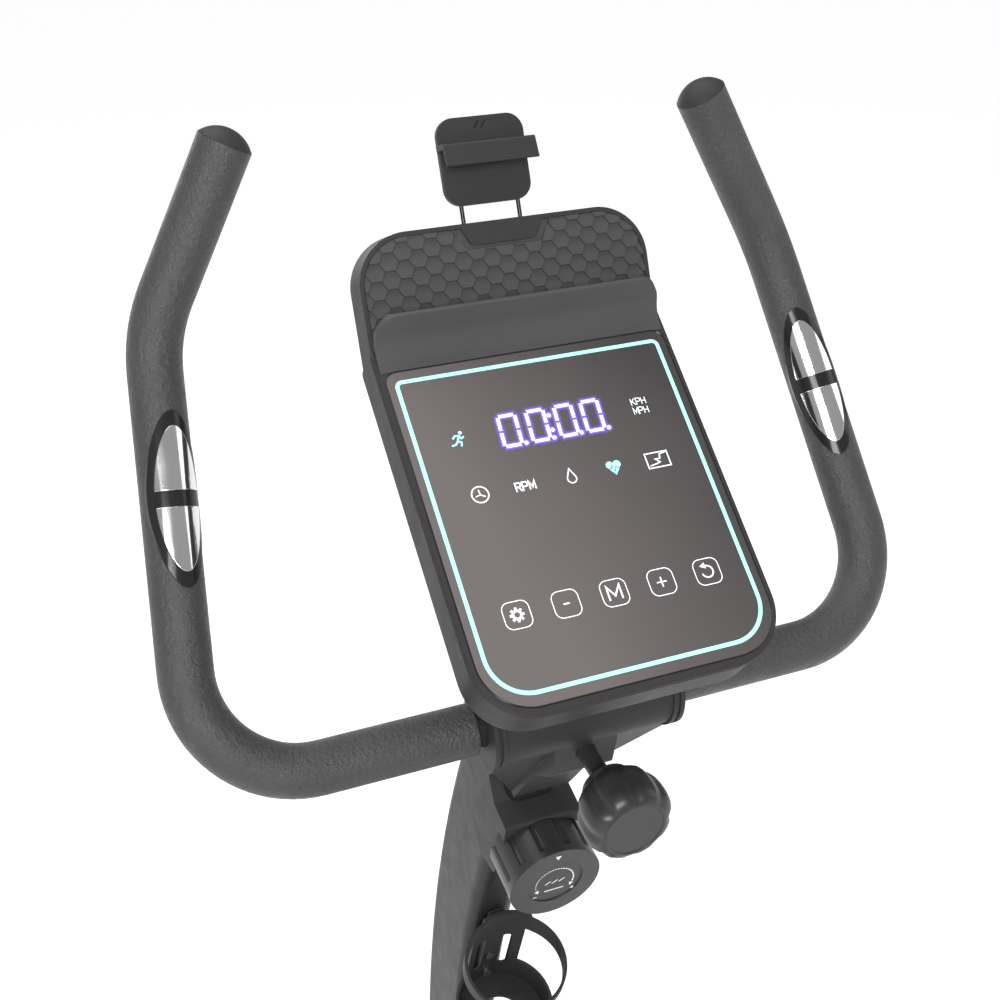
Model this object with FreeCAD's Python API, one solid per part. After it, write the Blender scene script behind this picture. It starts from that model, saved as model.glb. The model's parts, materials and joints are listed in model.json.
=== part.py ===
import FreeCAD, Part
import math
import os

# Upright exercise bike, in millimetres.
# +X is the rider's right, +Y forward and +Z up; the origin is on the floor under the middle.

V = FreeCAD.Vector
os.makedirs("parts", exist_ok=True)

# Fits
RUNNING = 0.05
GAP = 0.3
ROOM = 1.0

# Base
BASE_HALF = 455.0
CAP_R = 30.0
STABILISER_R = 25.0
STABILISER_WALL = 1.6
STABILISER_HALF = 206.0
CAP_INNER_X = 188.0
CAP_OUTER_X = 248.0
LEVEL_OFFSET = 3.0
FOOT_W = 24.0
FOOT_H = 10.0
BEAM_W = 50.0
BEAM_H = 60.0
BEAM_WALL = 2.0
BEAM_BOTTOM = 60.0
BEAM_PAST = 23.0
BEAM_HALF = BASE_HALF + BEAM_PAST
WHEEL_R = 22.0
WHEEL_W = 24.0
WHEEL_PIN_R = 4.0
BOLT_R = 4.0
BOLT_SPACING = 70.0

# Front post: a rounded rectangular tube, straight at the foot and then bent back towards the rider
POST_W = 40.0
POST_D = 85.0
POST_WALL = 2.0
POST_CORNER = 12.0
POST_Y = 354.0
POST_STRAIGHT_TOP = 301.0
POST_BEND_R = 1430.0
POST_BEND_DEG = 30.6

# Console datum: bottom edge of the display frame, on the glass
DATUM_Y = 20.0
DATUM_Z = 1140.0
CONSOLE_TILT = 36.0
CASE_HALF = 96.6
CASE_BOTTOM = -13.0
CASE_TOP = 237.0
CASE_DEPTH = 42.0
CASE_WALL = 2.5
CASE_CORNER = 37.0
CASE_BACK_ROUND = 9.0
BEZEL_DEPTH = 8.0
GLASS_EDGE = 3.1
GLASS_HALF = CASE_HALF - GLASS_EDGE
GLASS_BOTTOM = -8.0
GLASS_TOP = 212.0
GLASS_T = 2.0
GLASS_CORNER = 31.0
LIP_EDGE = 1.6
LIP_HALF = CASE_HALF - LIP_EDGE
LIP_HEIGHT = 24.0
LIP_T = 3.0
LIP_BEND = 20.0
LIP_CORNER = 16.0
RACK_TILT = 30.0
RACK_KINK = 230.0
RACK_LENGTH = 68.0
RACK_DEPTH = 25.0
RACK_RIM = 3.0
RACK_CORNER = 33.0
MAT_T = 2.0
TAB_TOP = 56.0
TAB_BOTTOM = 43.0
TAB_H = 11.0
ROD_R = 1.4
ROD_X = 19.2
ROD_DROP = 16.0
HOLDER_LOW = 80.0
HOLDER_W = 58.0
HOLDER_H = 54.0
HOLDER_T = 4.5
HOLDER_CORNER = 11.0
HOOK_REACH = 14.0
HOOK_DROP = 15.0
HOOK_T = 2.0
BOARD_T = 1.6
BOARD_EDGE = 18.6

# Handlebar
BAR_Y = 104.0
BAR_Z = 1051.5
BAR_R = 12.7
BAR_WALL = 1.8
BAR_HALF = 245.3
BAR_ELBOW = (217.4, 267.0, 1281.0)
BAR_TIP = (159.3, 276.0, 1389.8)
BAR_CORNER_R = 68.0
BAR_ELBOW_R = 76.0
GRIP_R = 17.0
GRIP_START = 72.0
SENSOR_LENGTH = 107.0
SENSOR_W = 33.0
SENSOR_R = 18.0
SENSOR_AT = 0.63
PLATE_LENGTH = 88.0
PLATE_W = 27.0
PLATE_R = 18.6
PLATE_GAP = 10.0
SENSOR_TURN = 15.0
END_CAP_H = 9.0

# Clamp, its cover and the T-knob
JAW_T = 4.0
JAW_HALF = 30.0
COVER_R = 27.0
COVER_HALF = 66.0
COVER_WALL = 1.9
SKIRT_ROOM = 0.1
SKIRT_HALF = POST_W / 2 + COVER_WALL + SKIRT_ROOM
COVER_SEAM_X = 6.0
COVER_RING = 1.6
T_DROP = 24.0
T_TILT = 3.8
T_FACE = 93.0
T_KNOB_R = 29.0
T_KNOB_ROUND = 7.0
T_KNOB_DISC_R = 19.0
T_KNOB_L = 34.0
T_COLLAR_R = 17.0
T_COLLAR_L = 9.0
T_SLEEVE_R = 6.5
T_BOLT_R = 4.0
T_LOBES = 8

# Tension control
TENSION_Y = 165.0
TENSION_Z = 876.0
TENSION_TILT = 9.0
TENSION_R = 35.5
TENSION_L = 40.0
TENSION_GROOVES = 12
TENSION_SPINDLE_R = 4.0
HOOD_HALF = 30.0
CABLE_R = 2.5

# Bottle cage
CAGE_ANGLE = 17.8
CAGE_R = 43.0
CAGE_WALL = 2.5
CAGE_AXIS = 50.0
CAGE_BAND = 20.0
CAGE_DROP = 83.0
CAGE_CUP_H = 34.0
CAGE_BACK_HALF = 24.0
CAGE_RIB_HALF = 7.0
CAGE_SLOT_X = 12.0
CAGE_SCREW_DEG = (14.85, 13.6)
CAGE_SCREW_SEAT = 6.4

# Drive
CRANK_Y = -80.0
AXLE_Z = 290.0
CRANK_LENGTH = 165.0
CRANK_X = 70.0
CRANK_T = 13.0
SPINDLE_R = 8.5
SHELL_R = 20.0
SHELL_HALF = 34.0
BEARING_R = 18.0
BEARING_W = 12.0
DRIVE_R = 100.0
DRIVE_W = 12.0
DRIVE_X = 38.0
SMALL_R = 16.0
BELT_T = 2.5
FLYWHEEL_Y = 140.0
FLYWHEEL_R = 110.0
FLYWHEEL_W = 24.0
AXLE_R = 6.0
PLATE_T = 4.0
ARM_PIVOT_R = 134.0
ARM_PIVOT_DEG = 30.0
ARM_GAP = 8.0
PEDAL_X = 100.0
PEDAL_W = 90.0
PEDAL_L = 92.0
PEDAL_H = 24.0
PEDAL_AXLE_R = 6.0
STRAP_T = 3.0
STRAP_W = 24.0
SHROUD_HALF = 62.0
SHROUD_WALL = 2.5

# Seat
SEAT_Y = -252.0
SEAT_LEAN = 8.5
SEAT_TUBE_R = 25.0
SEAT_TUBE_WALL = 2.0
SEAT_TUBE_TOP = 445.0
BUSH_L = 60.0
BUSH_LIP = 8.0
SEAT_POST_R = 19.0
SEAT_POST_WALL = 2.0
SEAT_POST_DOWN = 230.0
SEAT_POST_UP = 205.0
SEAT_HOLE_PITCH = 25.0
HEAD_W = 40.0
HEAD_H = 40.0
HEAD_L = 150.0
HEAD_WALL = 3.0
SLIDER_L = 215.0
STUB_R = 11.0
STUB_H = 36.0
SADDLE_L = 262.0
SADDLE_W = 214.0
SADDLE_NOSE = 62.0
SADDLE_PAD_H = 62.0
SADDLE_BASE_H = 16.0


# ---------------------------------------------------------------- helpers

def unit(vector):
    return vector * (1.0 / vector.Length)


def cylinder(radius, start, end):
    return Part.makeCylinder(radius, (end - start).Length, start, end - start)


def tube(outer, inner, start, end):
    return cylinder(outer, start, end).cut(cylinder(inner, start, end))


def box(x0, x1, y0, y1, z0, z1):
    return Part.makeBox(x1 - x0, y1 - y0, z1 - z0, V(x0, y0, z0))


def rounded_wire(points, closed):
    """Wire through (corner, radius) pairs, each corner replaced by a tangent arc of its radius."""
    stops = []
    for index, (corner, radius) in enumerate(points):
        at_end = not closed and index in (0, len(points) - 1)
        if radius == 0 or at_end:
            stops.append((corner, None, corner))
            continue
        back = unit(points[index - 1][0] - corner)
        on = unit(points[(index + 1) % len(points)][0] - corner)
        half = back.getAngle(on) / 2.0
        reach = radius / math.tan(half)
        bisector = unit(back + on)
        middle = corner + bisector * (radius / math.sin(half) - radius)
        stops.append((corner + back * reach, middle, corner + on * reach))
    edges = []
    for index, (enter, middle, leave) in enumerate(stops):
        if middle is not None:
            edges.append(Part.Arc(enter, middle, leave).toShape())
        last = index == len(stops) - 1
        if last and not closed:
            continue
        target = stops[(index + 1) % len(stops)][0]
        if (target - leave).Length > 1e-6:
            edges.append(Part.LineSegment(leave, target).toShape())
    return Part.Wire(edges)


def slab_xy(points, low, high):
    """Solid between two heights; points are (x, y, corner radius)."""
    wire = rounded_wire([(V(x, y, low), r) for x, y, r in points], True)
    return Part.Face(wire).extrude(V(0, 0, high - low))


def slab_yz(points, low, high):
    """Solid between two X positions; points are (y, z, corner radius)."""
    wire = rounded_wire([(V(low, y, z), r) for y, z, r in points], True)
    return Part.Face(wire).extrude(V(high - low, 0, 0))


def slab_xz(points, low, high):
    """Solid between two Y positions; points are (x, z, corner radius)."""
    wire = rounded_wire([(V(x, low, z), r) for x, z, r in points], True)
    return Part.Face(wire).extrude(V(0, high - low, 0))


def panel(half, low, high, bottom_r, top_r, back, front):
    """Rounded rectangle, symmetric in X, between two depths."""
    points = [(-half, low, bottom_r), (half, low, bottom_r), (half, high, top_r), (-half, high, top_r)]
    return slab_xy(points, back, front)


def pipe(points, radius):
    """Round bar along a path of straight runs and tangent arcs."""
    path = rounded_wire(points, False)
    heading = points[1][0] - points[0][0]
    circle = Part.Wire([Part.Circle(points[0][0], heading, radius).toShape()])
    return path.makePipeShell([circle], True, True)


def mirror_x(shape):
    return shape.mirror(V(0, 0, 0), V(1, 0, 0))


def group(shapes):
    return Part.makeCompound(shapes)


def about_x(shape, degrees, y, z):
    copy = shape.copy()
    copy.rotate(V(0, y, z), V(1, 0, 0), degrees)
    return copy


def write(name, shape):
    shape.exportStep("parts/" + name + ".step")


# ---------------------------------------------------------------- frames

console_place = FreeCAD.Placement(V(0, DATUM_Y, DATUM_Z), FreeCAD.Rotation(V(1, 0, 0), CONSOLE_TILT))
rack_place = console_place.multiply(
    FreeCAD.Placement(V(0, RACK_KINK, -1.0), FreeCAD.Rotation(V(1, 0, 0), RACK_TILT))
)


def placed(shape, place):
    copy = shape.copy()
    copy.Placement = place.multiply(copy.Placement)
    return copy


# The arc of the post turns about this axis, parallel to X
bend_y = POST_Y - POST_BEND_R
bend_z = POST_STRAIGHT_TOP


def post_point(degrees, outward):
    """Point on the bent part of the post, a distance forward of its centreline."""
    angle = math.radians(degrees)
    radius = POST_BEND_R + outward
    return V(0, bend_y + radius * math.cos(angle), bend_z + radius * math.sin(angle))


def post_bar(width, depth, low, to_degrees):
    """Rounded bar along the post's own path."""
    half = depth / 2.0
    corner = POST_CORNER - (POST_W - width) / 2.0
    points = [
        (-width / 2.0, POST_Y - half, corner),
        (width / 2.0, POST_Y - half, corner),
        (width / 2.0, POST_Y + half, corner),
        (-width / 2.0, POST_Y + half, corner),
    ]
    foot = slab_xy(points, low, POST_STRAIGHT_TOP)
    wire = rounded_wire([(V(x, y, POST_STRAIGHT_TOP), r) for x, y, r in points], True)
    bend = Part.Face(wire).revolve(V(0, bend_y, bend_z), V(1, 0, 0), to_degrees)
    return foot.fuse(bend).removeSplitter()


# ---------------------------------------------------------------- base

beam_top = BEAM_BOTTOM + BEAM_H
rear_axis_y = -BASE_HALF - LEVEL_OFFSET


def stabiliser_axis(front):
    return BASE_HALF if front else rear_axis_y


def main_beam():
    half = BEAM_W / 2.0
    outer = box(-half, half, -BEAM_HALF, BEAM_HALF, BEAM_BOTTOM, beam_top)
    inner_half = half - BEAM_WALL
    inner = box(-inner_half, inner_half, -BEAM_HALF + BEAM_WALL, BEAM_HALF - BEAM_WALL,
                BEAM_BOTTOM + BEAM_WALL, beam_top - BEAM_WALL)
    beam = outer.cut(inner)
    for front in (True, False):
        y = stabiliser_axis(front)
        low = CAP_R + 12.0
        cradle = box(-45, 45, y - 22, y + 22, low, BEAM_BOTTOM)
        beam = beam.fuse(cradle)
        beam = beam.cut(cylinder(STABILISER_R, V(-60, y, CAP_R), V(60, y, CAP_R)))
        for side in (-1, 1):
            x = side * BOLT_SPACING / 2.0
            beam = beam.cut(cylinder(BOLT_R + GAP, V(x, y, 0), V(x, y, BEAM_BOTTOM + 1)))
    return beam.removeSplitter()


def stabiliser(front):
    y = stabiliser_axis(front)
    start = V(-STABILISER_HALF, y, CAP_R)
    end = V(STABILISER_HALF, y, CAP_R)
    bar = tube(STABILISER_R, STABILISER_R - STABILISER_WALL, start, end)
    for side in (-1, 1):
        x = side * BOLT_SPACING / 2.0
        bar = bar.cut(cylinder(BOLT_R + GAP, V(x, y, 0), V(x, y, 100)))
    return bar


def stabiliser_bolts():
    bolts = []
    for front in (True, False):
        y = stabiliser_axis(front)
        for side in (-1, 1):
            x = side * BOLT_SPACING / 2.0
            low = CAP_R - STABILISER_R
            head = cylinder(8.0, V(x, y, low - 3.4), V(x, y, low - 0.4))
            shank = cylinder(BOLT_R, V(x, y, low - 1), V(x, y, BEAM_BOTTOM + 12))
            nut = cylinder(7.0, V(x, y, BEAM_BOTTOM), V(x, y, BEAM_BOTTOM + 9))
            dome = Part.makeSphere(7.0, V(x, y, BEAM_BOTTOM + 9))
            bolts.append(head.fuse([shank, nut, dome]).removeSplitter())
    return group(bolts)


def front_cap():
    """Right-hand front shoe, with the fork and pin of the transport wheel."""
    y = BASE_HALF
    cap = cylinder(CAP_R, V(CAP_INNER_X, y, CAP_R), V(CAP_OUTER_X, y, CAP_R))
    cap = cap.cut(cylinder(STABILISER_R, V(CAP_INNER_X - 1, y, CAP_R), V(STABILISER_HALF, y, CAP_R)))
    fork_low = STABILISER_HALF + 4.0
    fork_high = fork_low + WHEEL_W + 2 * ROOM
    slot = box(fork_low, fork_high, y + 7 - WHEEL_R - ROOM, y + 60, -1, 2 * CAP_R + 1)
    cap = cap.cut(slot)
    pin = cylinder(WHEEL_PIN_R, V(fork_low - 1, y + 7, CAP_R - 3), V(fork_high + 1, y + 7, CAP_R - 3))
    cap = cap.fuse(pin)
    for x0, x1 in ((CAP_INNER_X, fork_low), (fork_high, CAP_OUTER_X)):
        foot = box(x0, x1, y - FOOT_W / 2, y + FOOT_W / 2, 0, FOOT_H)
        cap = cap.fuse(foot.cut(cylinder(STABILISER_R, V(0, y, CAP_R), V(STABILISER_HALF, y, CAP_R))))
    return cap.removeSplitter()


def transport_wheel():
    y = BASE_HALF + 7
    z = CAP_R - 3
    x0 = STABILISER_HALF + 4.0 + ROOM
    wheel = tube(WHEEL_R, WHEEL_PIN_R + RUNNING, V(x0, y, z), V(x0 + WHEEL_W, y, z))
    for side_x, depth in ((x0, 5.0), (x0 + WHEEL_W, -5.0)):
        wheel = wheel.cut(tube(WHEEL_R - 5, WHEEL_PIN_R + 4, V(side_x, y, z), V(side_x + depth, y, z)))
    return wheel


def rear_cap():
    """Right-hand levelling shoe: its bore sits off its centre, so turning it lifts or lowers the corner."""
    outer = cylinder(CAP_R, V(CAP_INNER_X, -BASE_HALF, CAP_R), V(CAP_OUTER_X, -BASE_HALF, CAP_R))
    foot = box(CAP_INNER_X, CAP_OUTER_X, -BASE_HALF - FOOT_W / 2, -BASE_HALF + FOOT_W / 2, 0, FOOT_H)
    start = V(CAP_INNER_X - 1, rear_axis_y, CAP_R)
    end = V(STABILISER_HALF + ROOM, rear_axis_y, CAP_R)
    cap = outer.fuse(foot).removeSplitter().cut(cylinder(STABILISER_R + RUNNING, start, end))
    for index in range(6):
        angle = math.radians(30 + 60 * index)
        y = -BASE_HALF + (CAP_R + 2.5) * math.cos(angle)
        z = CAP_R + (CAP_R + 2.5) * math.sin(angle)
        if index != 4:
            cap = cap.cut(cylinder(5.0, V(CAP_OUTER_X - 22, y, z), V(CAP_OUTER_X + 1, y, z)))
    return cap


# ---------------------------------------------------------------- front post and clamp

cable_path = [
    (V(0, 205, 884), 0),
    (V(0, 262, 780), 330),
    (V(0, 313, 640), 420),
    (V(0, 338, 500), 300),
    (V(0, 340, 438), 36),
    (V(0, 290, 418), 60),
    (V(0, 232, 428), 0),
]


def front_post():
    post = post_bar(POST_W, POST_D, beam_top, POST_BEND_DEG)
    inner = post_bar(POST_W - 2 * POST_WALL, POST_D - 2 * POST_WALL, beam_top, POST_BEND_DEG)
    post = post.cut(inner)
    post = post.cut(pipe(cable_path, CABLE_R + 1.5))
    for degrees in CAGE_SCREW_DEG:
        face = -POST_D / 2
        post = post.cut(cylinder(2.5, post_point(degrees, face - 2), post_point(degrees, face + 6)))
    top = post_point(POST_BEND_DEG, 0)
    lid = box(-POST_W / 2 + 0.5, POST_W / 2 - 0.5, top.y - POST_D / 2 + 0.5, top.y + POST_D / 2 - 0.5,
              top.z, top.z + 4)
    lid = about_x(lid, POST_BEND_DEG, top.y, top.z)
    neck_y = top.y - 2
    neck = box(-15, 15, neck_y, neck_y + 5, top.z - 2, console_foot_z() - 3)
    plate = placed(box(-32, 32, 92, 146, -CASE_DEPTH - 4, -CASE_DEPTH), console_place)
    reach = box(-15, 15, neck_y, neck_y + 5, console_foot_z() - 8, console_foot_z() + 40)
    keep = placed(box(-60, 60, -200, 400, -200, -CASE_DEPTH - 1), console_place)
    post = post.fuse([lid, neck, plate, reach.common(keep)])
    knob = tension_axis_points(40.0)
    post = post.cut(cylinder(TENSION_SPINDLE_R + GAP, knob[0], knob[1]))
    return post.removeSplitter()


def console_foot_z():
    """Height at which the neck behind the handlebar meets the console's back."""
    top = post_point(POST_BEND_DEG, 0)
    slope = math.radians(CONSOLE_TILT)
    along = (top.y + 2 - DATUM_Y - (CASE_DEPTH + 4) * math.sin(slope)) / math.cos(slope)
    return DATUM_Z + along * math.sin(slope) - (CASE_DEPTH + 4) * math.cos(slope)


def t_axis(distance):
    """Point on the T-knob's axis, a distance towards the rider from below the bar."""
    angle = math.radians(T_TILT)
    return V(0, BAR_Y - distance * math.cos(angle), BAR_Z - T_DROP - distance * math.sin(angle))


def clamp_rear_jaw():
    ring = tube(BAR_R + JAW_T, BAR_R + RUNNING, V(-JAW_HALF, BAR_Y, BAR_Z), V(JAW_HALF, BAR_Y, BAR_Z))
    jaw = ring.common(box(-50, 50, BAR_Y + 1, BAR_Y + 60, BAR_Z - 60, BAR_Z + 60))
    top = post_point(POST_BEND_DEG, 0)
    web = slab_yz([
        (BAR_Y + 1, BAR_Z - BAR_R - 1, 0),
        (BAR_Y + 1, BAR_Z - T_DROP - 12, 0),
        (top.y - 36, top.z - 16, 0),
        (top.y + 10, top.z + 12, 0),
        (BAR_Y + BAR_R + 2, BAR_Z + 3, 0),
    ], -12, 12)
    web = web.cut(cylinder(BAR_R + RUNNING, V(-50, BAR_Y, BAR_Z), V(50, BAR_Y, BAR_Z)))
    lid = box(-40, 40, top.y - 60, top.y + 60, top.z - 200, top.z + 4)
    web = web.cut(about_x(lid, POST_BEND_DEG, top.y, top.z))
    jaw = jaw.fuse(web)
    neck_y = top.y - 2
    jaw = jaw.cut(box(-20, 20, neck_y, neck_y + 40, top.z - 50, top.z + 200))
    return jaw.cut(cylinder(T_BOLT_R + RUNNING, t_axis(20), t_axis(-32))).removeSplitter()


def clamp_front_jaw():
    ring = tube(BAR_R + JAW_T, BAR_R + RUNNING, V(-JAW_HALF, BAR_Y, BAR_Z), V(JAW_HALF, BAR_Y, BAR_Z))
    jaw = ring.common(box(-50, 50, BAR_Y - 60, BAR_Y - 1, BAR_Z - 60, BAR_Z + 60))
    flange = box(-12, 12, BAR_Y - 6, BAR_Y - 1, BAR_Z - T_DROP - 9, BAR_Z - BAR_R - 1)
    return jaw.fuse(flange).cut(cylinder(T_BOLT_R + GAP, t_axis(30), t_axis(-30))).removeSplitter()


def cover_outline(inset):
    """Side view of the clamp cover's skirt, from the bar down around the head of the post."""
    top = post_point(POST_BEND_DEG, 0)
    low = post_point(POST_BEND_DEG - 3.3, -POST_D / 2 - 4 + inset)
    far = post_point(POST_BEND_DEG - 3.3, POST_D / 2 + 4 - inset)
    head = post_point(POST_BEND_DEG + 0.9, POST_D / 2 + 4 - inset)
    return [
        (BAR_Y - 21 + inset, BAR_Z - 16, 0),
        (BAR_Y - 15 + inset, BAR_Z - 44 + inset, 6),
        (BAR_Y + 14 + inset, BAR_Z - 66 + inset, 10),
        (low.y, low.z, 0),
        (far.y, far.z, 0),
        (head.y, head.z, 12),
        (top.y + 8, top.z + 44 - inset, 10),
        (BAR_Y, BAR_Z + 22 - inset, 6),
    ]


def clamp_cover():
    """Both cover halves in one, before they are parted near the middle."""
    barrel = cylinder(COVER_R, V(-COVER_HALF, BAR_Y, BAR_Z), V(COVER_HALF, BAR_Y, BAR_Z))
    rings = []
    for side in (-1, 1):
        edge = side * COVER_HALF
        ring_r = COVER_R + COVER_RING
        rings.append(cylinder(ring_r, V(edge, BAR_Y, BAR_Z), V(edge - side * 3, BAR_Y, BAR_Z)))
        rings.append(cylinder(ring_r, V(edge - side * 5, BAR_Y, BAR_Z), V(edge - side * 8, BAR_Y, BAR_Z)))
    skirt = slab_yz(cover_outline(0), -SKIRT_HALF, SKIRT_HALF)
    outside = barrel.fuse(rings + [skirt, cover_fairing(0)])
    cavity = cylinder(COVER_R - COVER_WALL, V(-COVER_HALF + COVER_WALL, BAR_Y, BAR_Z),
                      V(COVER_HALF - COVER_WALL, BAR_Y, BAR_Z))
    hollow = slab_yz(cover_outline(COVER_WALL), -SKIRT_HALF + COVER_WALL, SKIRT_HALF - COVER_WALL)
    cover = outside.cut(cavity.fuse([hollow, cover_fairing(COVER_WALL)]))
    cover = cover.cut(cylinder(BAR_R + GAP, V(-90, BAR_Y, BAR_Z), V(90, BAR_Y, BAR_Z)))
    cover = cover.cut(post_bar(POST_W + 0.2, POST_D + 0.2, beam_top, POST_BEND_DEG - 0.2))
    top = post_point(POST_BEND_DEG, 0)
    cover = cover.cut(box(-15.5, 15.5, top.y - 3, top.y + 4, top.z, top.z + 200))
    return cover.cut(cylinder(T_SLEEVE_R + GAP, t_axis(60), t_axis(0)))


def cover_fairing(inset):
    """Sloping web from the underside of the barrel, running down and in to the skirt."""
    half = COVER_HALF - 1.0 - inset
    low = BAR_Z - 116.0 + inset
    front_view = slab_xz([
        (-half, BAR_Z - 6, 0),
        (-half, BAR_Z - 24 + inset, 4),
        (-SKIRT_HALF + 1 + inset, low, 0),
        (SKIRT_HALF - 1 - inset, low, 0),
        (half, BAR_Z - 24 + inset, 4),
        (half, BAR_Z - 6, 0),
    ], BAR_Y - 40, BAR_Y + 120)
    dy = 0.77 * inset
    dz = 0.64 * inset
    side_view = slab_yz([
        (BAR_Y - 14 + dy, BAR_Z - 23.5 + dz, 0),
        (BAR_Y + 56 + dy, BAR_Z - 116 + dz, 0),
        (BAR_Y + 78 - dy, BAR_Z - 99 - dz, 0),
        (BAR_Y + 24 - dy, BAR_Z - 6 - dz, 0),
        (BAR_Y - 14 + dy, BAR_Z - 6, 0),
    ], -COVER_HALF, COVER_HALF)
    return side_view.common(front_view)


def half_of(shape, side, seam):
    """The part of a shape on one side of its seam."""
    low = seam if side > 0 else seam - 400
    return shape.common(box(low, low + 400, -600, 600, 0, 1500))


def t_knob():
    back = T_FACE - T_KNOB_L
    knob = cylinder(T_KNOB_R, t_axis(back), t_axis(T_FACE))
    radial = V(1, 0, 0)
    axis = unit(t_axis(1) - t_axis(0))
    rim = [edge for edge in knob.Edges if edge.Length < 2.01 * math.pi * T_KNOB_R and len(edge.Vertexes) == 1
           and (edge.BoundBox.Center - t_axis(T_FACE)).Length < 0.5]
    knob = knob.makeFillet(T_KNOB_ROUND, rim)
    side = axis.cross(radial)
    for index in range(T_LOBES):
        angle = 2 * math.pi * (index + 0.5) / T_LOBES
        spot = (radial * math.cos(angle) + side * math.sin(angle)) * (T_KNOB_R + 6.0)
        knob = knob.cut(cylinder(9.5, t_axis(back - 1) + spot, t_axis(T_FACE + 1) + spot))
    hollow = cylinder(T_KNOB_DISC_R, t_axis(T_FACE - 1.2), t_axis(T_FACE + 1))
    knob = knob.cut(hollow)
    collar = cylinder(T_COLLAR_R, t_axis(back - T_COLLAR_L), t_axis(back))
    sleeve = cylinder(T_SLEEVE_R, t_axis(8), t_axis(back))
    bolt = cylinder(T_BOLT_R, t_axis(-30), t_axis(back))
    return knob.fuse([collar, sleeve, bolt]).removeSplitter()


# ---------------------------------------------------------------- tension control and cage

def tension_axis_points(depth):
    """The knob's front face centre and a point a depth behind its back face."""
    angle = math.radians(TENSION_TILT)
    back = V(0, TENSION_Y, TENSION_Z)
    away = V(0, -math.cos(angle), -math.sin(angle))
    return back + away * TENSION_L, back - away * depth


def tension_knob():
    front = tension_axis_points(0)[0]
    back = V(0, TENSION_Y, TENSION_Z)
    axis = unit(front - back)
    knob = cylinder(TENSION_R, back, front)
    side = axis.cross(V(1, 0, 0))
    for index in range(TENSION_GROOVES):
        angle = 2 * math.pi * (index + 0.5) / TENSION_GROOVES
        spot = (V(1, 0, 0) * math.cos(angle) + side * math.sin(angle)) * (TENSION_R + 1.2)
        knob = knob.cut(cylinder(3.4, back - axis + spot, front - axis * 6.0 + spot))
    knob = knob.cut(cylinder(21.5, front - axis * 1.0, front + axis))
    return knob.fuse(cylinder(TENSION_SPINDLE_R, back - axis * 34.0, back)).removeSplitter()


def tension_hood():
    back = V(0, TENSION_Y, TENSION_Z)
    points = [
        (182, 936, 0),
        (171, 917, 3),
        (148, 911, 3),
        (154, 889, 4),
        (172, 846, 8),
        (201, 843, 5),
        (222, 868, 12),
    ]
    hood = slab_yz(points, -HOOD_HALF, HOOD_HALF)
    hood = hood.cut(post_bar(POST_W + 0.1, POST_D + 0.1, beam_top, POST_BEND_DEG))
    front, inside = tension_axis_points(40.0)
    axis = unit(front - back)
    hood = hood.cut(cylinder(TENSION_R + ROOM, back - axis * GAP, front + axis))
    return hood.cut(cylinder(TENSION_SPINDLE_R + GAP, inside, front)).removeSplitter()


def bottle_cage():
    """Built upright about its own axis, then tilted to stand along the post."""
    low = -CAGE_DROP - CAGE_CUP_H
    inner = CAGE_R - CAGE_WALL
    wall = tube(CAGE_R, inner, V(0, 0, low), V(0, 0, 0))
    back = wall.common(box(-CAGE_BACK_HALF, CAGE_BACK_HALF, 0, CAGE_AXIS, low, 0))
    rib = box(-CAGE_RIB_HALF, CAGE_RIB_HALF, inner, CAGE_AXIS - 1.2, low, 0)
    band = tube(CAGE_R, inner, V(0, 0, -CAGE_BAND), V(0, 0, 0))
    band = band.cut(slab_yz([
        (-60, -CAGE_BAND - 20, 0), (-60, -5, 0), (34, -CAGE_BAND - 1, 0), (34, -CAGE_BAND - 20, 0),
    ], -60, 60))
    cup = tube(CAGE_R, inner, V(0, 0, low), V(0, 0, low + CAGE_CUP_H))
    floor = cylinder(CAGE_R, V(0, 0, low), V(0, 0, low + 3))
    floor = floor.cut(cylinder(20, V(0, 0, low - 1), V(0, 0, low + 4)))
    clip = tube(CAGE_R + 1.5, inner, V(0, 0, -5), V(0, 0, 3.5)).common(box(-14, 27, 20, 60, -5, 3.5))
    cage = rib.fuse([back, band, cup, floor, clip])
    for x in (-CAGE_SLOT_X, CAGE_SLOT_X):
        cage = cage.cut(slab_xz([
            (x - 4, low + CAGE_CUP_H - 8, 3.9), (x + 4, low + CAGE_CUP_H - 8, 3.9),
            (x + 4, -CAGE_BAND - 14, 3.9), (x - 4, -CAGE_BAND - 14, 3.9),
        ], 30, CAGE_AXIS + 4))
    cage = cage.cut(cylinder(inner, V(0, 0, low + 3), V(0, 0, 40)))
    cage.rotate(V(0, 0, 0), V(1, 0, 0), CAGE_ANGLE)
    cage.translate(post_point(CAGE_ANGLE, -POST_D / 2 - CAGE_AXIS))
    cage = cage.cut(post_bar(POST_W, POST_D, beam_top, POST_BEND_DEG))
    for degrees in CAGE_SCREW_DEG:
        face = -POST_D / 2
        cage = cage.cut(cylinder(2.5, post_point(degrees, face - 20), post_point(degrees, face + 6)))
        seat = face - CAGE_SCREW_SEAT
        cage = cage.cut(cylinder(5.0, post_point(degrees, face - 20), post_point(degrees, seat)))
    return cage.removeSplitter()


def cage_screws():
    screws = []
    for degrees in CAGE_SCREW_DEG:
        seat = -POST_D / 2 - CAGE_SCREW_SEAT
        head = cylinder(4.5, post_point(degrees, seat - 3.2), post_point(degrees, seat))
        screws.append(head.fuse(cylinder(2.4, post_point(degrees, seat - 1), post_point(degrees, seat + 12))))
    return group(screws)


# ---------------------------------------------------------------- console

def rack_block(inset):
    points = [
        (-CASE_HALF + inset, -12, 0),
        (CASE_HALF - inset, -12, 0),
        (CASE_HALF - inset, RACK_LENGTH - inset, RACK_CORNER - inset),
        (-CASE_HALF + inset, RACK_LENGTH - inset, RACK_CORNER - inset),
    ]
    return placed(slab_xy(points, -RACK_DEPTH, 0), rack_place)


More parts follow.
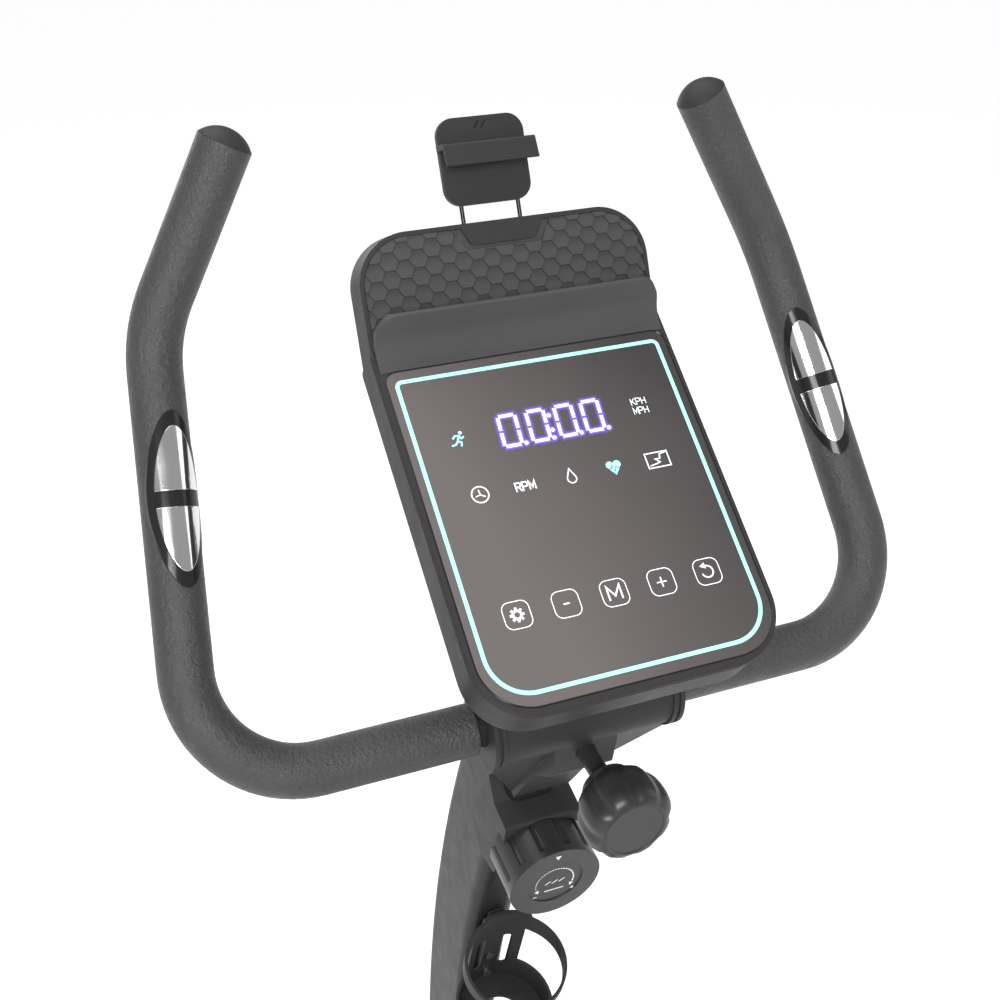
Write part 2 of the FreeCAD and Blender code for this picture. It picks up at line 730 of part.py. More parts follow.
def tab_outline(grow):
    top = RACK_LENGTH - RACK_RIM + 1
    low = RACK_LENGTH - RACK_RIM - TAB_H
    return [
        (-TAB_TOP / 2 - grow, top, 0),
        (-TAB_BOTTOM / 2 - grow, low - grow, 3.5),
        (TAB_BOTTOM / 2 + grow, low - grow, 3.5),
        (TAB_TOP / 2 + grow, top, 0),
    ]


def console_back():
    case = panel(CASE_HALF, CASE_BOTTOM, CASE_TOP, CASE_CORNER, 6, -CASE_DEPTH, -BEZEL_DEPTH)
    rim = [edge for edge in case.Edges if abs(edge.BoundBox.ZMax + CASE_DEPTH) < 0.01]
    case = placed(case.makeFillet(CASE_BACK_ROUND, rim), console_place)
    back = case.fuse(rack_block(0))
    wall = CASE_WALL
    cavity = placed(panel(CASE_HALF - wall, CASE_BOTTOM + wall, CASE_TOP - 6, CASE_CORNER - wall, 4,
                          -CASE_DEPTH + wall + 1, 5), console_place)
    rack_cavity = box(-CASE_HALF + 6, CASE_HALF - 6, -14, RACK_LENGTH - 14, -RACK_DEPTH + wall, -7)
    rack_cavity = placed(rack_cavity, rack_place)
    corners = placed(slab_xy([
        (-CASE_HALF + 6, -14, 0),
        (CASE_HALF - 6, -14, 0),
        (CASE_HALF - 6, RACK_LENGTH - 14, 24),
        (-CASE_HALF + 6, RACK_LENGTH - 14, 24),
    ], -RACK_DEPTH + wall, -7), rack_place)
    keep_deck = placed(box(-200, 200, -12, 200, -7, 40), rack_place)
    back = back.cut(cavity.cut(keep_deck)).cut(rack_cavity.common(corners))
    back = back.cut(placed(mat_slab(0.1, -MAT_T - 0.6), rack_place))
    for side in (-1, 1):
        x = side * ROD_X
        bore = cylinder(ROD_R + RUNNING, V(x, 20, -ROD_DROP), V(x, 90, -ROD_DROP))
        back = back.cut(placed(bore, rack_place))
    return back.removeSplitter()


def mat_slab(grow, low):
    half = CASE_HALF - RACK_RIM + grow
    top = RACK_LENGTH - RACK_RIM + grow
    corner = RACK_CORNER - RACK_RIM
    slab = slab_xy([(-half, 7 - grow, 0), (half, 7 - grow, 0), (half, top, corner), (-half, top, corner)], low, 1)
    return slab.cut(slab_xy(tab_outline(-grow), low - 1, 2))


def rack_mat():
    plate = mat_slab(0, -MAT_T - 0.6).common(box(-200, 200, -50, 200, -MAT_T - 0.6, -0.6))
    return placed(plate, rack_place)


def glass_outline(grow, back, front):
    return panel(GLASS_HALF + grow, GLASS_BOTTOM - grow, GLASS_TOP, GLASS_CORNER, 8, back, front)


def console_bezel():
    frame = panel(CASE_HALF, CASE_BOTTOM, RACK_KINK, CASE_CORNER, 3, -BEZEL_DEPTH, 0)
    frame = frame.cut(glass_outline(0.4, -GLASS_T, 1))
    frame = frame.cut(panel(GLASS_HALF - 6, GLASS_BOTTOM + 6, GLASS_TOP - 10, 26, 4, -BEZEL_DEPTH - 1, 1))
    frame = frame.cut(box(-LIP_HALF, LIP_HALF, GLASS_TOP + 0.2, CASE_TOP, -GLASS_T - 0.5, 1))
    return placed(frame, console_place).cut(rack_block(0)).removeSplitter()


def display_glass():
    return placed(glass_outline(0, -GLASS_T, 0), console_place)


def device_lip():
    low = GLASS_TOP + 0.3
    back = -GLASS_T - 0.5
    profile = [
        (low, back, 0),
        (low, 0, 0),
        (226.0, 0, LIP_BEND),
        (236.5, LIP_HEIGHT, 0.9),
        (236.5 + LIP_T, LIP_HEIGHT - 1.2, 0.9),
        (228.8, back, LIP_BEND + LIP_T),
    ]
    lip = slab_yz(profile, -LIP_HALF, LIP_HALF)
    face = slab_xz([
        (-LIP_HALF, -12, 0),
        (LIP_HALF, -12, 0),
        (LIP_HALF, LIP_HEIGHT, LIP_CORNER),
        (-LIP_HALF, LIP_HEIGHT, LIP_CORNER),
    ], 150, 300)
    return placed(lip.common(face), console_place).cut(rack_block(0)).removeSplitter()


def circuit_board():
    half = CASE_HALF - BOARD_EDGE
    board = box(-half, half, 8, 196, -14 - BOARD_T, -14)
    display = box(-58, 58, 120, 160, -14, -4)
    keys = [cylinder(5, V(-56 + 28 * i, 38, -14), V(-56 + 28 * i, 38, -3)) for i in range(5)]
    return placed(board.fuse([display] + keys).removeSplitter(), console_place)


def holder_rods():
    rods = []
    for side in (-1, 1):
        x = side * ROD_X
        rods.append(placed(cylinder(ROD_R, V(x, -8, -ROD_DROP), V(x, HOLDER_LOW + 20, -ROD_DROP)), rack_place))
    return group(rods)


def holder_plate():
    half = HOLDER_W / 2.0
    back = -ROD_DROP - HOLDER_T / 2
    front = back + HOLDER_T
    high = HOLDER_LOW + HOLDER_H
    plate = panel(half, HOLDER_LOW, high, HOLDER_CORNER, HOLDER_CORNER, back, front)
    fold = high - 16.0
    hook = slab_yz([
        (fold - 4, front - 0.5, 0),
        (fold, front - 0.5, 0),
        (fold - 1, front + HOOK_REACH, 2.5),
        (fold - HOOK_DROP, front + HOOK_REACH + 3, 0.6),
        (fold - HOOK_DROP, front + HOOK_REACH + 3 - HOOK_T, 0.6),
        (fold - 4, front + HOOK_REACH - HOOK_T, 1.0),
    ], -half - 1.5, half + 1.5)
    plate = plate.fuse(hook)
    for side in (-1, 1):
        x = side * ROD_X
        plate = plate.cut(cylinder(ROD_R, V(x, 0, -ROD_DROP), V(x, HOLDER_LOW + 20, -ROD_DROP)))
    return placed(plate.removeSplitter(), rack_place)


# ---------------------------------------------------------------- handlebar

bar_corner = V(BAR_HALF, BAR_Y, BAR_Z)
bar_elbow = V(*BAR_ELBOW)
bar_tip = V(*BAR_TIP)


def bar_path(start_x):
    return [(V(start_x, BAR_Y, BAR_Z), 0), (bar_corner, BAR_CORNER_R), (bar_elbow, BAR_ELBOW_R), (bar_tip, 0)]


def full_bar(radius):
    left = [(V(-point.x, point.y, point.z), r) for point, r in reversed(bar_path(0)[1:])]
    return pipe(left + bar_path(0)[1:], radius)


def handlebar_tube():
    return full_bar(BAR_R).cut(full_bar(BAR_R - BAR_WALL))


def sensor_frame():
    """Centre of the right-hand sensor on the bar, the bar's direction there, and the way it faces."""
    centre = bar_corner + (bar_elbow - bar_corner) * SENSOR_AT
    along = unit(bar_elbow - bar_corner)
    forward = unit(V(0, -1, 0) - along * (along.dot(V(0, -1, 0))))
    turn = FreeCAD.Rotation(along, SENSOR_TURN)
    facing = turn.multVec(forward)
    if facing.x > forward.x:
        facing = FreeCAD.Rotation(along, -SENSOR_TURN).multVec(forward)
    return centre, along, facing


def sensor_oval(length, width, depth):
    """Oval prism on the bar's axis, reaching out through the face that the palm covers."""
    centre, along, facing = sensor_frame()
    oval = Part.Wire([Part.Ellipse(V(0, 0, 0), length / 2.0, width / 2.0).toShape()])
    prism = Part.Face(oval).extrude(V(0, 0, depth))
    side = facing.cross(along)
    turn = FreeCAD.Rotation(along, side, facing, "ZXY")
    prism.Placement = FreeCAD.Placement(centre, turn)
    return prism


def grip():
    foam = pipe(bar_path(GRIP_START), GRIP_R).cut(pipe(bar_path(GRIP_START - 5), BAR_R))
    return foam.cut(sensor_oval(SENSOR_LENGTH, SENSOR_W, 40))


def sensor_bar(outer, inner):
    centre, along = sensor_frame()[:2]
    return tube(outer, inner, centre - along * 70, centre + along * 70)


def sensor_housing():
    body = sensor_bar(SENSOR_R, BAR_R).common(sensor_oval(SENSOR_LENGTH, SENSOR_W, 40))
    recess = sensor_bar(SENSOR_R + 1, SENSOR_R - 1.6).common(sensor_oval(PLATE_LENGTH, PLATE_W, 40))
    return body.cut(recess.cut(sensor_band(PLATE_GAP)))


def sensor_band(width):
    centre, along = sensor_frame()[:2]
    return cylinder(40, centre - along * (width / 2.0), centre + along * (width / 2.0))


def sensor_plates():
    inner = SENSOR_R - 1.6
    plates = sensor_bar(PLATE_R, inner).common(sensor_oval(PLATE_LENGTH, PLATE_W, 40))
    return plates.cut(sensor_band(PLATE_GAP))


def bar_end_cap():
    axis = unit(bar_tip - bar_elbow)
    dome_r = (GRIP_R ** 2 + END_CAP_H ** 2) / (2 * END_CAP_H)
    dome = Part.makeSphere(dome_r, bar_tip - axis * (dome_r - END_CAP_H))
    cap = dome.common(cylinder(GRIP_R, bar_tip, bar_tip + axis * 20))
    plug = cylinder(BAR_R - BAR_WALL, bar_tip - axis * 14, bar_tip + axis)
    return cap.fuse(plug).removeSplitter()


# ---------------------------------------------------------------- drive

crank_axis = V(0, CRANK_Y, AXLE_Z)
flywheel_axis = V(0, FLYWHEEL_Y, AXLE_Z)


def on_x(centre, x):
    return V(x, centre.y, centre.z)


def disc(centre, radius, x0, x1):
    return cylinder(radius, on_x(centre, x0), on_x(centre, x1))


def ring(centre, outer, inner, x0, x1):
    return disc(centre, outer, x0, x1).cut(disc(centre, inner, x0, x1))


arm_pivot = V(
    0,
    FLYWHEEL_Y + ARM_PIVOT_R * math.cos(math.radians(ARM_PIVOT_DEG)),
    AXLE_Z + ARM_PIVOT_R * math.sin(math.radians(ARM_PIVOT_DEG)),
)


def drive_bracket():
    inside = BEAM_W / 2.0
    plates = []
    for side in (-1, 1):
        x0 = inside if side > 0 else -inside - PLATE_T
        plate = slab_yz([
            (CRANK_Y - 40, BEAM_BOTTOM + 15, 4),
            (FLYWHEEL_Y + 110, BEAM_BOTTOM + 15, 4),
            (arm_pivot.y + 16, arm_pivot.z + 16, 14),
            (arm_pivot.y - 22, arm_pivot.z + 16, 14),
            (FLYWHEEL_Y + 20, AXLE_Z + 26, 20),
            (FLYWHEEL_Y - 30, AXLE_Z + 30, 20),
            (CRANK_Y + 20, AXLE_Z + 34, 30),
            (CRANK_Y - 34, AXLE_Z + 30, 26),
            (CRANK_Y - 34, AXLE_Z - 40, 20),
        ], x0, x0 + PLATE_T)
        plate = plate.cut(disc(crank_axis, SHELL_R, -60, 60))
        plate = plate.cut(disc(flywheel_axis, AXLE_R, -60, 60))
        plate = plate.cut(disc(arm_pivot, AXLE_R, -60, 60))
        plate = plate.cut(slab_yz([
            (CRANK_Y - 8, beam_top + 12, 10),
            (FLYWHEEL_Y + 40, beam_top + 12, 10),
            (FLYWHEEL_Y - 12, AXLE_Z - 40, 20),
            (CRANK_Y + 40, AXLE_Z - 40, 20),
        ], -60, 60))
        plates.append(plate)
    return group(plates)


def bottom_bracket():
    return ring(crank_axis, SHELL_R, BEARING_R, -SHELL_HALF, SHELL_HALF)


def crank_bearings():
    rings = []
    for side in (-1, 1):
        x0 = side * SHELL_HALF
        rings.append(ring(crank_axis, BEARING_R, SPINDLE_R + RUNNING, min(x0, x0 - side * BEARING_W),
                          max(x0, x0 - side * BEARING_W)))
    return group(rings)


def drive_axles():
    reach = BEAM_W / 2.0 + PLATE_T
    axle = disc(flywheel_axis, AXLE_R, -reach - 10, DRIVE_X + DRIVE_W + 6)
    pivot = disc(arm_pivot, AXLE_R, -reach - 6, reach + 6)
    return group([axle, pivot])


def crank_spindle():
    outer = CRANK_X + CRANK_T
    bar = disc(crank_axis, SPINDLE_R, -outer, outer)
    nuts = [disc(crank_axis, 11.0, outer, outer + 7), disc(crank_axis, 11.0, -outer - 7, -outer)]
    return bar.fuse(nuts).removeSplitter()


def drive_pulley():
    x0, x1 = DRIVE_X, DRIVE_X + DRIVE_W
    wheel = disc(crank_axis, DRIVE_R, x0, x1)
    web = ring(crank_axis, DRIVE_R - 9, 26, x0 - 1, x0 + 4)
    wheel = wheel.cut(web).cut(ring(crank_axis, DRIVE_R - 9, 26, x1 - 4, x1 + 1))
    for index in range(5):
        angle = 2 * math.pi * index / 5
        y = CRANK_Y + 57 * math.cos(angle)
        z = AXLE_Z + 57 * math.sin(angle)
        wheel = wheel.cut(cylinder(19, V(x0 - 1, y, z), V(x1 + 1, y, z)))
    return wheel.cut(disc(crank_axis, SPINDLE_R, x0 - 1, x1 + 1))


def pedal_centre(side):
    return V(0, CRANK_Y + side * CRANK_LENGTH, AXLE_Z)


def crank_arm(side):
    """Right arm points forward, left arm backward."""
    x0 = CRANK_X if side > 0 else -CRANK_X - CRANK_T
    x1 = x0 + CRANK_T
    end = pedal_centre(side)
    low, high = sorted((CRANK_Y, end.y))
    arm = slab_yz([(low, AXLE_Z - 12, 0), (high, AXLE_Z - 12, 0), (high, AXLE_Z + 12, 0), (low, AXLE_Z + 12, 0)],
                  x0, x1)
    arm = arm.fuse([disc(crank_axis, 19, x0, x1), disc(end, 14, x0, x1)])
    arm = arm.cut(disc(crank_axis, SPINDLE_R, x0 - 1, x1 + 1)).cut(disc(end, PEDAL_AXLE_R, x0 - 1, x1 + 1))
    return arm.removeSplitter()


def pedal_axle(side):
    end = pedal_centre(side)
    x0 = side * CRANK_X
    x1 = side * (PEDAL_X + PEDAL_W - 8)
    collar0 = side * (CRANK_X + CRANK_T)
    collar1 = side * (CRANK_X + CRANK_T + 5)
    return disc(end, PEDAL_AXLE_R, x0, x1).fuse(disc(end, 9, collar0, collar1)).removeSplitter()


def pedal(side):
    end = pedal_centre(side)
    x0, x1 = sorted((side * PEDAL_X, side * (PEDAL_X + PEDAL_W)))
    half = PEDAL_L / 2.0
    body = slab_xy([
        (x0, end.y - half, 16), (x1, end.y - half, 16), (x1, end.y + half, 16), (x0, end.y + half, 16),
    ], AXLE_Z - PEDAL_H / 2, AXLE_Z + PEDAL_H / 2)
    for way in (-1, 1):
        y0, y1 = sorted((end.y + way * 14, end.y + way * (half - 10)))
        for x in (x0 + 12, (x0 + x1) / 2 + 3):
            body = body.cut(box(x, x + PEDAL_W / 2 - 15, y0, y1, AXLE_Z - 40, AXLE_Z + 40))
    bore_end = side * (PEDAL_X + PEDAL_W - 6)
    return body.cut(disc(end, PEDAL_AXLE_R + RUNNING, side * 90, bore_end))


def strap(side):
    """Band over the foot, from one edge of the pedal to the other."""
    end = pedal_centre(side)
    middle = side * (PEDAL_X + PEDAL_W / 2)
    half = PEDAL_W / 2.0
    outer = half + STRAP_T
    top = AXLE_Z + PEDAL_H / 2 + 52
    low = AXLE_Z - PEDAL_H / 2 + 2
    shoulder = AXLE_Z + PEDAL_H / 2 + 4
    wide = slab_xz([
        (middle - outer, low, 0), (middle + outer, low, 0), (middle + outer, shoulder, 10),
        (middle + outer - 8, top, 26), (middle - outer + 8, top, 26), (middle - outer, shoulder, 10),
    ], end.y - STRAP_W / 2, end.y + STRAP_W / 2)
    inner = slab_xz([
        (middle - half, low - 1, 0), (middle + half, low - 1, 0), (middle + half, shoulder, 10),
        (middle + half - 8, top - STRAP_T, 23), (middle - half + 8, top - STRAP_T, 23),
        (middle - half, shoulder, 10),
    ], end.y - STRAP_W, end.y + STRAP_W)
    band = wide.cut(inner)
    return band.cut(disc(end, PEDAL_AXLE_R + ROOM + 4, middle - side * 60, middle))


def belt():
    span = FLYWHEEL_Y - CRANK_Y
    inner = loop_solid(DRIVE_R + GAP, SMALL_R + GAP, span)
    return loop_solid(DRIVE_R + GAP + BELT_T, SMALL_R + GAP + BELT_T, span).cut(inner)


def loop_solid(big, small, span):
    """Solid bounded by two circles and their outer tangents."""
    lean = math.asin((big - small) / span)
    corners = []
    for way in (1, -1):
        for centre_y, radius in ((CRANK_Y, big), (FLYWHEEL_Y, small)):
            y = centre_y + radius * math.sin(lean)
            z = AXLE_Z + way * radius * math.cos(lean)
            corners.append((y, z, 0))
    order = [corners[0], corners[1], corners[3], corners[2]]
    x0, x1 = DRIVE_X, DRIVE_X + DRIVE_W
    loop = slab_yz(order, x0, x1).fuse([disc(crank_axis, big, x0, x1), disc(flywheel_axis, small, x0, x1)])
    return loop.removeSplitter()


def flywheel():
    half = FLYWHEEL_W / 2.0
    wheel = disc(flywheel_axis, FLYWHEEL_R, -half, half)
    wheel = wheel.cut(ring(flywheel_axis, FLYWHEEL_R - 26, 22, half - 7, half + 1))
    wheel = wheel.cut(ring(flywheel_axis, FLYWHEEL_R - 26, 22, -half - 1, -half + 7))
    wheel = wheel.cut(disc(flywheel_axis, AXLE_R + RUNNING, -60, 60))
    hub = ring(flywheel_axis, 12, AXLE_R + RUNNING, half, BEAM_W / 2.0 - ROOM)
    pulley = ring(flywheel_axis, SMALL_R, AXLE_R + RUNNING, DRIVE_X, DRIVE_X + DRIVE_W)
    return group([wheel.fuse(hub).removeSplitter(), pulley])


def magnet_arm():
    inner = FLYWHEEL_R + ARM_GAP
    arc = ring(flywheel_axis, inner + 12, inner + 4, -15, 15)
    sector = slab_yz([
        (FLYWHEEL_Y, AXLE_Z, 0),
        (FLYWHEEL_Y + 300 * math.cos(math.radians(34)), AXLE_Z + 300 * math.sin(math.radians(34)), 0),
        (FLYWHEEL_Y + 300 * math.cos(math.radians(98)), AXLE_Z + 300 * math.sin(math.radians(98)), 0),
    ], -60, 60)
    arm = arc.common(sector)
    boss = disc(arm_pivot, 12, -22, 22).cut(disc(flywheel_axis, inner, -60, 60))
    arm = arm.fuse(boss).cut(disc(arm_pivot, AXLE_R + RUNNING, -60, 60))
    magnets = []
    for degrees in (55, 73, 91):
        block = box(-13, 13, -14, 14, inner, inner + 5)
        block.rotate(V(0, 0, 0), V(1, 0, 0), degrees - 90)
        block.translate(flywheel_axis)
        magnets.append(block)
    return arm.fuse(magnets).removeSplitter()


shroud_outline = [
    (CRANK_Y - 125, beam_top + 0.3, 12),
    (306, beam_top + 0.3, 12),
    (306, 372, 46),
    (212, 462, 90),
    (40, 462, 150),
    (CRANK_Y - 125, 380, 90),
]


def shroud():
    outer = slab_yz(shroud_outline, -SHROUD_HALF, SHROUD_HALF)
    faces = [edge for edge in outer.Edges
             if abs(abs(edge.BoundBox.XMin) - SHROUD_HALF) < 0.01
             and abs(abs(edge.BoundBox.XMax) - SHROUD_HALF) < 0.01
             and edge.BoundBox.ZMax > beam_top + 14]
    wall = SHROUD_WALL
    inset = [
        (CRANK_Y - 125 + wall, beam_top - 9, 10),
        (306 - wall, beam_top - 9, 10),
        (306 - wall, 371, 44),
        (211, 462 - wall, 88),
        (41, 462 - wall, 148),
        (CRANK_Y - 125 + wall, 379, 88),
    ]
    inner = slab_yz(inset, -SHROUD_HALF + wall, SHROUD_HALF - wall)
    shell = outer.makeChamfer(5.0, faces).cut(inner.cut(outer_edge_fill()))
    shell = shell.cut(disc(crank_axis, SPINDLE_R + 10, -80, 80))
    return shell.cut(pipe(cable_path, CABLE_R + 1.5))


def outer_edge_fill():
    """Keeps material behind the chamfered rim of the shroud."""
    wall = SHROUD_WALL
    ringed = slab_yz(shroud_outline, -SHROUD_HALF, SHROUD_HALF)
    core = [(y + (8 if y < 0 else -8), z + (-8 if z > 200 else -20), max(r - 8, 2)) for y, z, r in shroud_outline]
    middle = slab_yz(core, -SHROUD_HALF, SHROUD_HALF)
    rim = ringed.cut(middle)
    sides = box(-SHROUD_HALF, -SHROUD_HALF + wall + 4, -400, 400, 0, 600)
    sides = sides.fuse(box(SHROUD_HALF - wall - 4, SHROUD_HALF, -400, 400, 0, 600))
    return rim.common(sides)


# ---------------------------------------------------------------- seat

seat_base = V(0, SEAT_Y, beam_top)
seat_dir = V(0, -math.sin(math.radians(SEAT_LEAN)), math.cos(math.radians(SEAT_LEAN)))


def seat_point(distance, back=0.0):
    """Point a distance up the seat tube's axis, moved back square to it."""
    square = V(0, -seat_dir.z, seat_dir.y)
    return seat_base + seat_dir * distance + square * back


def seat_tube():
    tube_body = tube(SEAT_TUBE_R, SEAT_TUBE_R - SEAT_TUBE_WALL, seat_point(-20), seat_point(SEAT_TUBE_TOP))
    tube_body = tube_body.cut(box(-60, 60, -500, 0, 0, beam_top))
    boss = cylinder(11, seat_point(SEAT_TUBE_TOP - 35, 18), seat_point(SEAT_TUBE_TOP - 35, SEAT_TUBE_R + 9))
    boss = boss.cut(cylinder(SEAT_TUBE_R - SEAT_TUBE_WALL, seat_point(0), seat_point(SEAT_TUBE_TOP)))
    body = tube_body.fuse(boss)
    pin_hole = cylinder(5.0 + RUNNING, seat_point(SEAT_TUBE_TOP - 35, 10), seat_point(SEAT_TUBE_TOP - 35, 60))
    return body.cut(pin_hole).removeSplitter()


def seat_tube_bush():
    inner = SEAT_POST_R + RUNNING
    outer = SEAT_TUBE_R - SEAT_TUBE_WALL
    sleeve = tube(outer, inner, seat_point(SEAT_TUBE_TOP - BUSH_L), seat_point(SEAT_TUBE_TOP))
    lip = tube(SEAT_TUBE_R + 2, inner, seat_point(SEAT_TUBE_TOP), seat_point(SEAT_TUBE_TOP + BUSH_LIP))
    bush = sleeve.fuse(lip)
    pin_hole = cylinder(5.0 + RUNNING, seat_point(SEAT_TUBE_TOP - 35, 10), seat_point(SEAT_TUBE_TOP - 35, 60))
    return bush.cut(pin_hole).removeSplitter()


def head_base():
    return seat_point(SEAT_TUBE_TOP + SEAT_POST_UP)


def seat_post():
    low = seat_point(SEAT_TUBE_TOP - SEAT_POST_DOWN)
    post = tube(SEAT_POST_R, SEAT_POST_R - SEAT_POST_WALL, low, seat_point(SEAT_TUBE_TOP + SEAT_POST_UP + 8))
    for index in range(8):
        along = SEAT_TUBE_TOP - 35 + (index - 4) * SEAT_HOLE_PITCH
        post = post.cut(cylinder(5.3, seat_point(along, 5), seat_point(along, 40)))
    foot = head_base()
    half = HEAD_W / 2.0
    post = post.cut(box(-60, 60, -900, 0, foot.z, foot.z + 100))
    head = box(-half, half, foot.y - HEAD_L / 2, foot.y + HEAD_L / 2, foot.z, foot.z + HEAD_H)
    wall = HEAD_WALL
    hollow = box(-half + wall, half - wall, foot.y - HEAD_L, foot.y + HEAD_L, foot.z + wall, foot.z + HEAD_H - wall)
    slot = box(-STUB_R - ROOM, STUB_R + ROOM, foot.y - HEAD_L, foot.y + HEAD_L, foot.z + wall, foot.z + HEAD_H + 1)
    post = post.fuse(head).cut(hollow).cut(slot)
    knob_z = foot.z + HEAD_H / 2
    knob_hole = cylinder(4.0 + GAP, V(0, foot.y + 40, knob_z), V(60, foot.y + 40, knob_z))
    return post.cut(knob_hole).removeSplitter()


def seat_slider():
    foot = head_base()
    fit = HEAD_WALL + RUNNING
    half = HEAD_W / 2.0 - fit
    bar = box(-half, half, foot.y - SLIDER_L / 2, foot.y + SLIDER_L / 2, foot.z + fit, foot.z + HEAD_H - fit)
    bar = bar.cut(box(-half + 3, half - 3, foot.y - SLIDER_L, foot.y + SLIDER_L, foot.z + fit + 3,
                      foot.z + HEAD_H - fit - 3))
    stub = cylinder(STUB_R, V(0, foot.y, foot.z + HEAD_H - fit - 3), V(0, foot.y, foot.z + HEAD_H + STUB_H))
    return bar.fuse(stub).removeSplitter()


def slider_knob():
    foot = head_base()
    x0 = HEAD_W / 2.0 - HEAD_WALL + 0.3
    y, z = foot.y + 40, foot.z + HEAD_H / 2
    stem = cylinder(4.0, V(x0, y, z), V(x0 + 14, y, z))
    knob = cylinder(22, V(x0 + 12, y, z), V(x0 + 38, y, z))
    for index in range(6):
        angle = 2 * math.pi * index / 6
        dy, dz = 26 * math.cos(angle), 26 * math.sin(angle)
        knob = knob.cut(cylinder(8, V(x0 + 11, y + dy, z + dz), V(x0 + 39, y + dy, z + dz)))
    return stem.fuse(knob).removeSplitter()


def seat_pin():
    """Pull pin behind the seat tube; its tip stops just short of the post."""
    along = SEAT_TUBE_TOP - 35
    pin = cylinder(5.0, seat_point(along, SEAT_POST_R + GAP), seat_point(along, SEAT_TUBE_R + 26))
    neck = cylinder(8.0, seat_point(along, SEAT_TUBE_R + 9 + GAP), seat_point(along, SEAT_TUBE_R + 20))
    knob = cylinder(18.0, seat_point(along, SEAT_TUBE_R + 19), seat_point(along, SEAT_TUBE_R + 40))
    return pin.fuse([neck, knob]).removeSplitter()


def saddle_outline(inset):
    foot = head_base()
    rear = foot.y - SADDLE_L / 2 + inset
    front = foot.y + SADDLE_L / 2 - inset
    wide = SADDLE_W / 2 - inset
    nose = SADDLE_NOSE / 2 - inset
    return [
        (-wide, rear, 55 - inset),
        (wide, rear, 55 - inset),
        (wide, foot.y - 26, 60),
        (nose, foot.y + 66, 45),
        (nose, front, nose * 0.9),
        (-nose, front, nose * 0.9),
        (-nose, foot.y + 66, 45),
        (-wide, foot.y - 26, 60),
    ]


def saddle_base():
    foot = head_base()
    low = foot.z + HEAD_H + STUB_H - 10
    base = slab_xy(saddle_outline(9), low, low + SADDLE_BASE_H)
    boss = cylinder(17, V(0, foot.y, foot.z + HEAD_H + 8), V(0, foot.y, low))
    base = base.fuse(boss)
    stub = cylinder(STUB_R, V(0, foot.y, foot.z), V(0, foot.y, foot.z + HEAD_H + STUB_H))
    return base.cut(stub).removeSplitter()


def saddle_pad():
    foot = head_base()
    low = foot.z + HEAD_H + STUB_H - 10 + SADDLE_BASE_H
    return slab_xy(saddle_outline(0), low, low + SADDLE_PAD_H)


# ---------------------------------------------------------------- write the nodes

def build():
    write("main_beam", main_beam())
    write("front_stabiliser", stabiliser(True))
    write("rear_stabiliser", stabiliser(False))
    write("stabiliser_bolts", stabiliser_bolts())
    cap = front_cap()
    write("front_caps", group([cap, mirror_x(cap)]))
    wheel = transport_wheel()
    shoe = rear_cap()
    write("transport_wheel_right", wheel)
    write("transport_wheel_left", mirror_x(wheel))
    write("rear_cap_right", shoe)
    write("rear_cap_left", mirror_x(shoe))

    write("front_post", front_post())
    write("clamp_rear_jaw", clamp_rear_jaw())
    write("clamp_front_jaw", clamp_front_jaw())
    cover = clamp_cover()
    write("clamp_cover_right", half_of(cover, 1, COVER_SEAM_X))
    write("clamp_cover_left", half_of(cover, -1, COVER_SEAM_X))
    write("t_knob", t_knob())
    write("tension_knob", tension_knob())
    write("tension_hood", tension_hood())
    write("tension_cable", pipe(cable_path, CABLE_R))
    write("bottle_cage", bottle_cage())
    write("cage_screws", cage_screws())

    write("console_back", console_back())
    write("console_bezel", console_bezel())
    write("display_glass", display_glass())
    write("device_lip", device_lip())
    write("rack_mat", rack_mat())
    write("circuit_board", circuit_board())
    write("holder_rods", holder_rods())
    write("holder_plate", holder_plate())

    write("handlebar_tube", handlebar_tube())
    foam = grip()
    write("grip_right", foam)
    write("grip_left", mirror_x(foam))
    for name, shape in (("sensor_housings", sensor_housing()), ("sensor_plates", sensor_plates()),
                        ("bar_end_caps", bar_end_cap())):
        write(name, group([shape, mirror_x(shape)]))

    write("drive_bracket", drive_bracket())
    write("bottom_bracket", bottom_bracket())
    write("crank_bearings", crank_bearings())
    write("drive_axles", drive_axles())
    write("crank_spindle", crank_spindle())
    write("drive_pulley", drive_pulley())
    for name, side in (("right", 1), ("left", -1)):
        write("crank_" + name, crank_arm(side))
        write("pedal_" + name, pedal(side))
        write("strap_" + name, strap(side))
    write("pedal_axles", group([pedal_axle(1), pedal_axle(-1)]))
    write("belt", belt())
    write("flywheel", flywheel())
    write("magnet_arm", magnet_arm())
    casing = shroud()
    write("shroud_right", half_of(casing, 1, 0))
    write("shroud_left", half_of(casing, -1, 0))

    write("seat_tube", seat_tube())
    write("seat_tube_bush", seat_tube_bush())
    write("seat_post", seat_post())
    write("seat_pin", seat_pin())
    write("seat_slider", seat_slider())
    write("slider_knob", slider_knob())
    write("saddle_base", saddle_base())
    write("saddle_pad", saddle_pad())


build()
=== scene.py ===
import json
import math
import bmesh
import bpy
from mathutils import Matrix, Vector


